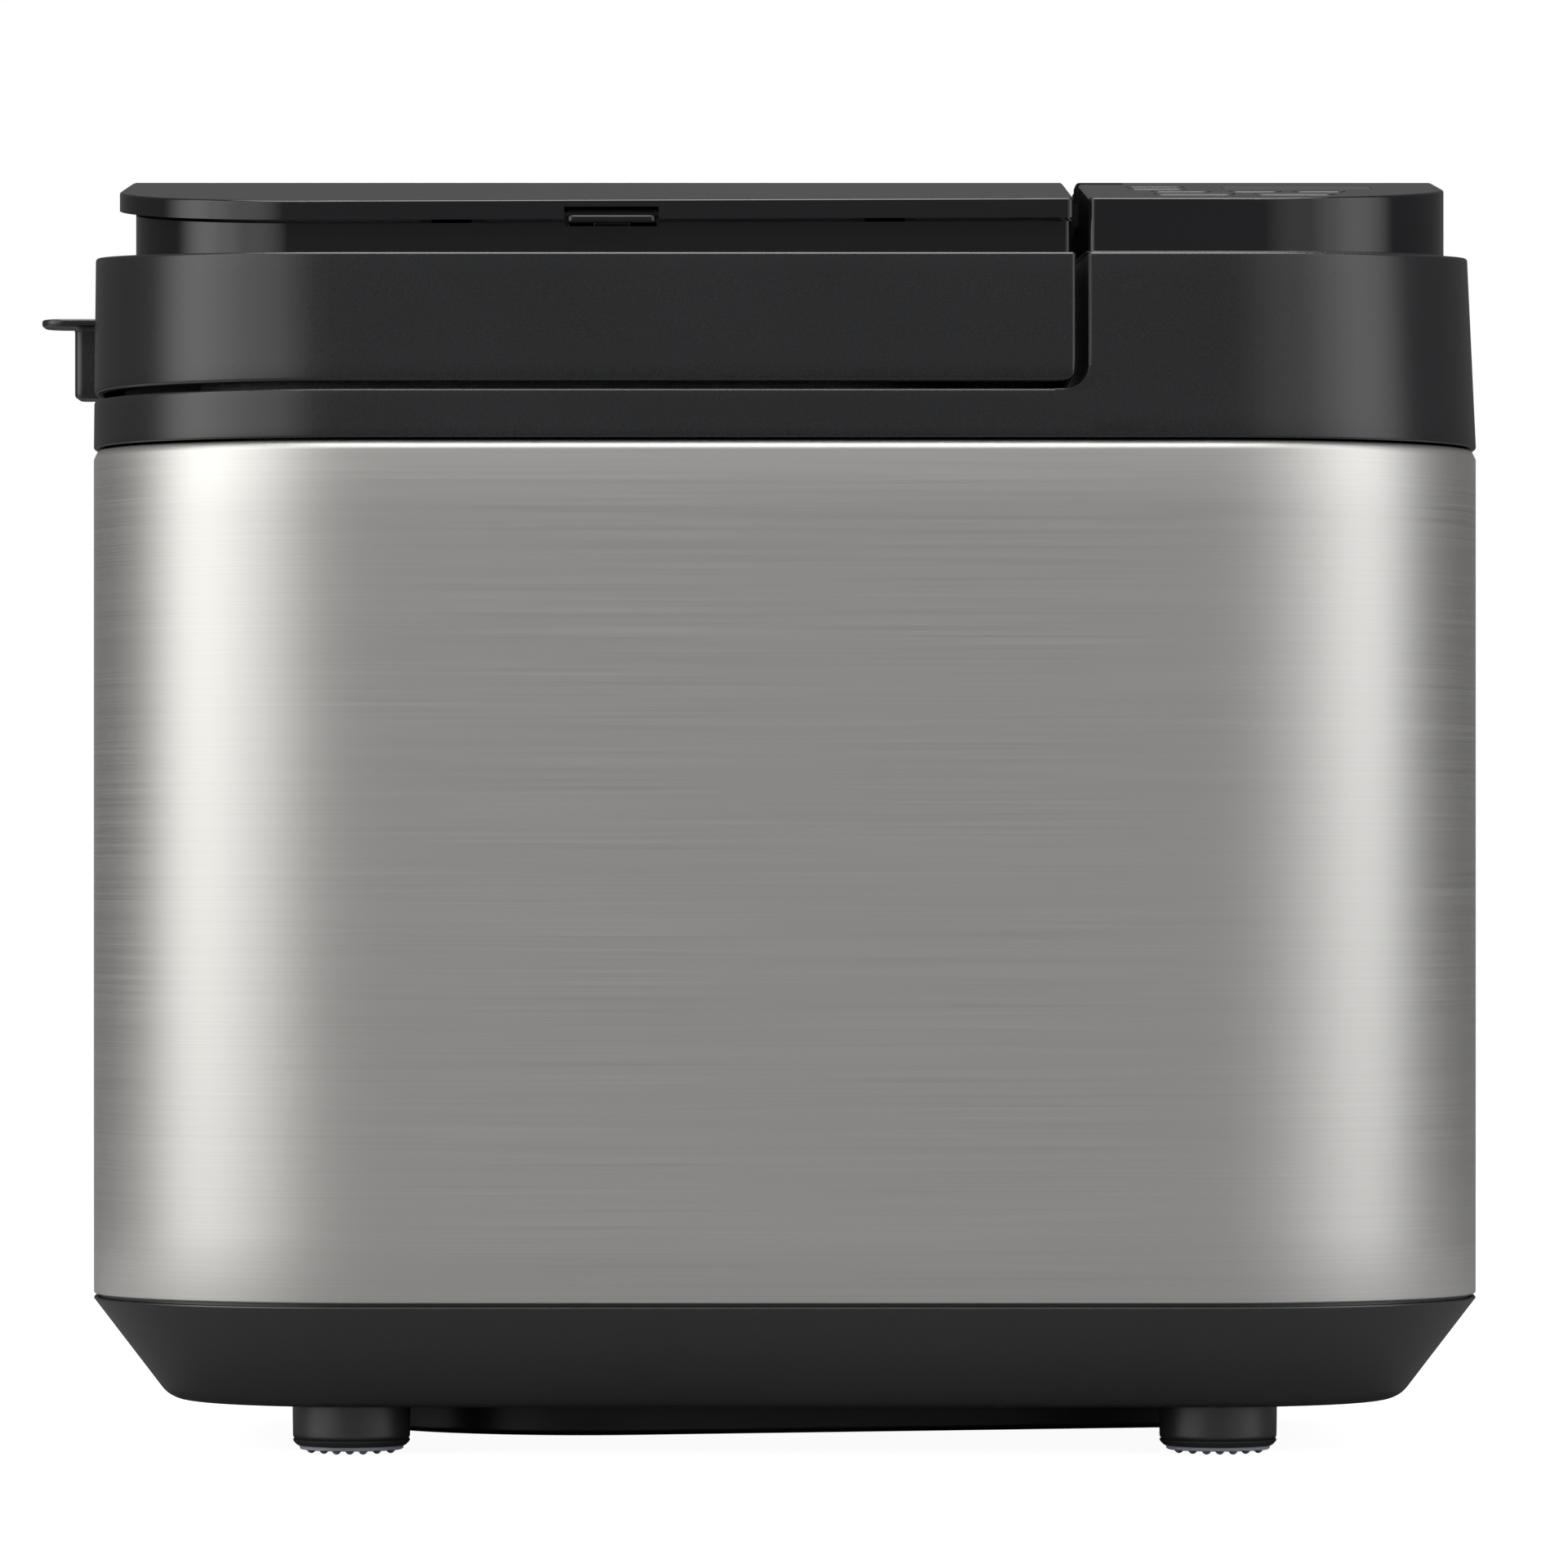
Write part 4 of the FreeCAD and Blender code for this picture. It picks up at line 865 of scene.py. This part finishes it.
def latch_tab():
    """Push tab under the dispenser lid's finger window, with a hook behind it."""
    bm = bmesh.new()
    x0, x1, y0, y1 = LATCH_LOW.x, LATCH_HIGH.x, LATCH_LOW.y, LATCH_HIGH.y
    tab = (x0, x1, y0, y0 + LATCH_DEPTH, (1.6 * MM, 1.6 * MM, 0.4 * MM, 0.4 * MM))
    plan_block(bm, tab, LATCH_HIGH.z - LATCH_THICK, LATCH_HIGH.z, 0.6 * MM, 0.6 * MM)
    hook = (x0 + HOOK_IN, x1 - HOOK_IN, y1 - HOOK_THICK, y1, (0.5 * MM,) * 4)
    plan_block(bm, hook, LATCH_LOW.z, LATCH_HIGH.z, 0.4 * MM, 0.4 * MM)
    return make_object("latch_tab", bm, MATS["gloss_black"], 40)


place(lifting_handle(), "lid", "matte_band", "lid_handle")
place(latch_tab(), "latch", "gloss_black", "lid_latch")


# ------------------------------------------------------------------ rubber pads and foot tips
PAD_R = PAD_HIGH.x - FOOT_X
PAD_TOP = FEET_LOW.z
PAD_PITCH, NUB_R = 3.7 * MM, 1.3 * MM


def pads():
    """Four ribbed rubber pads: a thin disc with a grid of round nubs under each foot."""
    bm = bmesh.new()
    disc = [(0, 1 * MM), (PAD_R - 0.6 * MM, 1 * MM), (PAD_R - 0.15 * MM, 1.2 * MM), (PAD_R, 1.9 * MM),
            (PAD_R, PAD_TOP), (0, PAD_TOP)]
    turns = [math.radians(15 * k) for k in range(1, 7)]
    nub = [(0, 0)] + [(NUB_R * math.sin(t), NUB_R * (1 - math.cos(t))) for t in turns] + [(0, 1.35 * MM)]
    reach = int(PAD_R / PAD_PITCH)
    grid = [(i, j) for i in range(-reach, reach + 1) for j in range(-reach, reach + 1)
            if math.hypot(i, j) * PAD_PITCH < PAD_R - NUB_R]
    for cx, cy in FOOT_PLACES:
        lathe(bm, disc, (cx, cy), 40)
        for i, j in grid:
            lathe(bm, nub, (cx + i * PAD_PITCH, cy + j * PAD_PITCH), 10)
    return make_object("rubber_pads", bm, MATS["pad_rubber"], 50)


def foot_tips():
    """The chamfered lower end of each foot, which holds its pad."""
    bm = bmesh.new()
    profile = [(0, 2.1), (14.7, 2.1), (15.1, 2.15), (15.4, 2.35), (16.15, 3.15), (16.36, 3.5), (16.41, 3.9),
               (0, 3.9)]
    for foot in FOOT_PLACES:
        lathe(bm, [(r * MM, z * MM) for r, z in profile], foot, 64)
    return make_object("foot_tips", bm, MATS["base_plastic"], 40)


place(pads(), "casing", "pad_rubber", "foot_pads")
place(foot_tips(), "casing", "base_plastic")
place(block_foot(), "casing", "matte_band")


# ------------------------------------------------------------------ screws and rating plate
BACK_FACE = HALF_DEPTH - 0.1 * MM
BACK_SCREWS = ((-104, 58), (62, 58), (-104, 268), (104, 268), (0, 58))                     # x, z in mm
BASE_SCREWS = ((-152, 0), (152, 0), (-60, -88), (60, -88), (-60, 88), (60, 88))            # x, y in mm
PLATE_X, PLATE_Z, PLATE_R, PLATE_THICK = (-46, 22), (112, 152), 3 * MM, 0.5 * MM
BAR_X, BAR_R, BAR_THICK = -40, 0.8 * MM, 0.62 * MM
BARS = ((52, 144), (40, 137), (56, 130), (30, 123), (46, 117))                             # width, z in mm


def screw(name, centre, axis, r):
    """A domed screw head with a cross recess, its top facing along axis."""
    bm = bmesh.new()
    head = [(0, 0), (r, 0), (r, 0.3 * MM), (r * 0.86, 0.7 * MM), (r * 0.55, 0.95 * MM), (0, 1.0 * MM)]
    lathe(bm, head, (0, 0), 28)
    obj = make_object(name, bm, MATS["bright_steel"], 40)
    for a, b in ((r * 0.62, r * 0.13), (r * 0.13, r * 0.62)):
        cut_with(obj, block_cutter(-a, a, -b, b, 0.45 * MM, 2 * MM))
    turn = Vector((0, 0, 1)).rotation_difference(Vector(axis)).to_matrix().to_4x4()
    obj.data.transform(Matrix.Translation(Vector(centre)) @ turn)
    place(obj, "casing", "bright_steel")


def slab(name, x_range, z_range, r, thick, slot):
    """A thin plate with rounded corners and soft edges that lies on the back of the wrap; ranges in mm."""
    bm = bmesh.new()
    shape = (*(x * MM for x in x_range), *(z * MM for z in z_range), (r,) * 4)
    plan_block(bm, shape, 0, thick, 0.05 * MM, thick * 0.4)
    stand_up = Matrix.Rotation(math.radians(90), 4, "X")
    bmesh.ops.transform(bm, matrix=stand_up, verts=bm.verts)
    turn_back = Matrix.Scale(-1, 4, (0, 1, 0)) @ Matrix.Translation((0, -BACK_FACE, 0))
    bmesh.ops.transform(bm, matrix=turn_back, verts=bm.verts)
    place(make_object(name, bm, MATS[slot], 40), "casing", slot)


for index, (x, z) in enumerate(BACK_SCREWS):
    screw(f"back_screw_{index}", (x * MM, BACK_FACE, z * MM), (0, 1, 0), 3.1 * MM)
for index, (x, y) in enumerate(BASE_SCREWS):
    screw(f"base_screw_{index}", (x * MM, y * MM, BASE_LOW.z + 0.1 * MM), (0, 0, -1), 3.0 * MM)
slab("rating_plate", PLATE_X, PLATE_Z, PLATE_R, PLATE_THICK, "alloy")
for index, (width, z) in enumerate(BARS):
    slab(f"rating_bar_{index}", (BAR_X, BAR_X + width), (z - 1, z + 1), BAR_R, BAR_THICK, "dark_plastic")


# ------------------------------------------------------------------ bread pan rim
RIM_HALF_X, RIM_HALF_Y, RIM_CORNER_R = 88.3 * MM, 68.3 * MM, 26 * MM
RIM_Z, RIM_BEAD_R = 219 * MM, 1.3 * MM


def pan_rim():
    """The rolled bead round the pan's rim."""
    shape = (CHAMBER_X - RIM_HALF_X, CHAMBER_X + RIM_HALF_X, -RIM_HALF_Y, RIM_HALF_Y, (RIM_CORNER_R,) * 4)
    return bead("pan_rim_bead", shape, 0.6 * MM, level(RIM_Z), RIM_BEAD_R, MATS["nonstick"])


place(pan_rim(), "pan", "nonstick")


# ------------------------------------------------------------------ floor, light and camera
EYE_HEIGHT = 157.8 * MM
CAMERA_GAP = 2.612          # from the casing's front to the lens
HORIZON_SHIFT = 0.0674      # the eye level is below the middle of the view
FLOOR_HALF = 8.0
FLOOR_GLOW = 0.95
ROOM_FRONT, ROOM_BACK = 0.235, 0.11


def floor():
    """Pale floor: white to the camera but for soft contact shadows, and a quiet grey in reflections."""
    bm = bmesh.new()
    bmesh.ops.create_grid(bm, x_segments=8, y_segments=8, size=FLOOR_HALF)
    mesh = bpy.data.meshes.new("floor")
    bm.to_mesh(mesh)
    bm.free()
    obj = bpy.data.objects.new("floor", mesh)
    bpy.context.scene.collection.objects.link(obj)
    m = Nodes("floor")
    cloud = m.noise(m.scaled(3, 3, 3), 1.0, 2.0)
    m.colour(m.spread(cloud, 0, 1), (0.19, 0.19, 0.19), (0.21, 0.21, 0.21))
    m.set(Roughness=0.9, Specular_IOR_Level=0.0)
    pale = m.add("ShaderNodeBsdfDiffuse")
    pale.inputs["Color"].default_value = (0.35, 0.35, 0.35, 1)
    glow = m.add("ShaderNodeEmission", in_Strength=FLOOR_GLOW)
    seen = m.add("ShaderNodeAddShader")
    m.link(pale.outputs[0], seen.inputs[0])
    m.link(glow.outputs[0], seen.inputs[1])
    path = m.add("ShaderNodeLightPath")
    pick = m.add("ShaderNodeMixShader")
    m.link(path.outputs["Is Camera Ray"], pick.inputs[0])
    m.link(m.bsdf.outputs[0], pick.inputs[1])
    m.link(seen.outputs[0], pick.inputs[2])
    out = next(n for n in m.tree.nodes if n.type == "OUTPUT_MATERIAL")
    m.link(pick.outputs[0], out.inputs["Surface"])
    mesh.materials.append(m.mat)


def area_light(name, width, height, radiance, location):
    """A rectangular light that faces down until it is turned."""
    light = bpy.data.lights.new(name, "AREA")
    light.shape = "RECTANGLE"
    light.size, light.size_y = width, height
    light.energy = radiance * math.pi * width * height
    obj = bpy.data.objects.new(name, light)
    obj.location = location
    bpy.context.scene.collection.objects.link(obj)
    return obj


def math_node(tree, operation, a, b):
    """A math node in a light's tree, of two sockets or numbers."""
    node = tree.nodes.new("ShaderNodeMath")
    node.operation = operation
    for value, socket in ((a, node.inputs[0]), (b, node.inputs[1])):
        if isinstance(value, float):
            socket.default_value = value
        else:
            tree.links.new(value, socket)
    return node.outputs[0]


def soft_light(name, azimuth, distance, low, high, width, radiance, colour=(1, 1, 1), sharpness=1.5):
    """A tall softbox round the object at an azimuth from the front, which fades towards its sides."""
    turn = math.radians(azimuth)
    place_on_floor = Vector((math.sin(turn) * distance, -math.cos(turn) * distance, 0))
    obj = area_light(name, width, high - low, radiance, place_on_floor + Vector((0, 0, (low + high) / 2)))
    obj.rotation_euler = (-place_on_floor).to_track_quat("-Z", "Y").to_euler()
    obj.data.color = colour
    obj.data.use_nodes = True
    tree = obj.data.node_tree
    where = tree.nodes.new("ShaderNodeNewGeometry")
    split = tree.nodes.new("ShaderNodeSeparateXYZ")
    tree.links.new(where.outputs["Parametric"], split.inputs[0])
    across = split.outputs["X"]
    hill = math_node(tree, "MULTIPLY", across, math_node(tree, "SUBTRACT", 1.0, across))
    fade = math_node(tree, "POWER", math_node(tree, "MULTIPLY", hill, 4.0), float(sharpness))
    emission = next(n for n in tree.nodes if n.type == "EMISSION")
    tree.links.new(fade, emission.inputs["Strength"])


def floor_glow(name, x, size, radiance):
    """A patch of bright floor beside the object, out of the camera's view, for the base's slanting sides."""
    obj = area_light(name, size, size, radiance, (x, -0.1, 0.004))
    obj.rotation_euler = (math.pi, 0, 0)


def world():
    """White to the camera, and to what it lights a grey that is dimmer behind the object than before it."""
    w = bpy.data.worlds.new("studio")
    bpy.context.scene.world = w
    w.use_nodes = True
    nodes, links = w.node_tree.nodes, w.node_tree.links
    nodes.clear()
    out = nodes.new("ShaderNodeOutputWorld")
    mix = nodes.new("ShaderNodeMixShader")
    path = nodes.new("ShaderNodeLightPath")
    where = nodes.new("ShaderNodeTexCoord")
    split = nodes.new("ShaderNodeSeparateXYZ")
    links.new(where.outputs["Generated"], split.inputs[0])
    ramp = nodes.new("ShaderNodeMapRange")
    ramp.interpolation_type = "SMOOTHSTEP"
    for key, v in (("From Min", -0.75), ("From Max", 0.75), ("To Min", ROOM_FRONT), ("To Max", ROOM_BACK)):
        ramp.inputs[key].default_value = v
    links.new(split.outputs["Y"], ramp.inputs["Value"])
    soft, white = nodes.new("ShaderNodeBackground"), nodes.new("ShaderNodeBackground")
    soft.inputs["Color"].default_value = (1.0, 0.99, 1.0, 1)
    links.new(ramp.outputs["Result"], soft.inputs["Strength"])
    white.inputs["Color"].default_value = (1, 1, 1, 1)
    links.new(path.outputs["Is Camera Ray"], mix.inputs[0])
    links.new(soft.outputs[0], mix.inputs[1])
    links.new(white.outputs[0], mix.inputs[2])
    links.new(mix.outputs[0], out.inputs["Surface"])


def camera():
    """Straight on from the front, through a long lens."""
    cam = bpy.data.cameras.new("camera")
    cam.sensor_width = 36.0
    cam.lens = 217.5
    cam.shift_x = -0.0005
    cam.shift_y = HORIZON_SHIFT
    cam.clip_start, cam.clip_end = 0.05, 60.0
    obj = bpy.data.objects.new("camera", cam)
    obj.location = (0, -HALF_DEPTH - CAMERA_GAP, EYE_HEIGHT)
    obj.rotation_euler = (math.radians(90), 0, 0)
    bpy.context.scene.collection.objects.link(obj)
    bpy.context.scene.camera = obj


SOFTBOX_LOW, SOFTBOX_HIGH = 0.02, 2.4
floor()
world()
# name, azimuth, distance, lower edge, upper edge, width, radiance, colour, sharpness
soft_light("left_softbox", -71, 2.0, SOFTBOX_LOW, SOFTBOX_HIGH, 2.0, 2.45, (1.0, 0.985, 0.97), 2.2)
soft_light("left_fill", -42, 2.4, SOFTBOX_LOW, SOFTBOX_HIGH, 1.8, 1.35, (1.0, 0.99, 0.98), 1.0)
soft_light("right_softbox", 67, 2.0, SOFTBOX_LOW, SOFTBOX_HIGH, 2.0, 1.9, (0.985, 0.99, 1.0), 1.6)
soft_light("right_fill", 36, 2.4, SOFTBOX_LOW, SOFTBOX_HIGH, 1.6, 0.6, (1.0, 1.0, 1.0), 1.0)
soft_light("front_top", 0, 1.7, 1.9, 3.0, 2.6, 4.6)
floor_glow("left_bounce", -0.75, 0.8, 0.45)
floor_glow("right_bounce", 0.75, 0.8, 0.25)
area_light("top_softbox", 1.5, 1.1, 7.0, (0, -0.15, 1.9))
camera()
scene = bpy.context.scene
scene.view_settings.view_transform = "Standard"
scene.view_settings.look = "None"
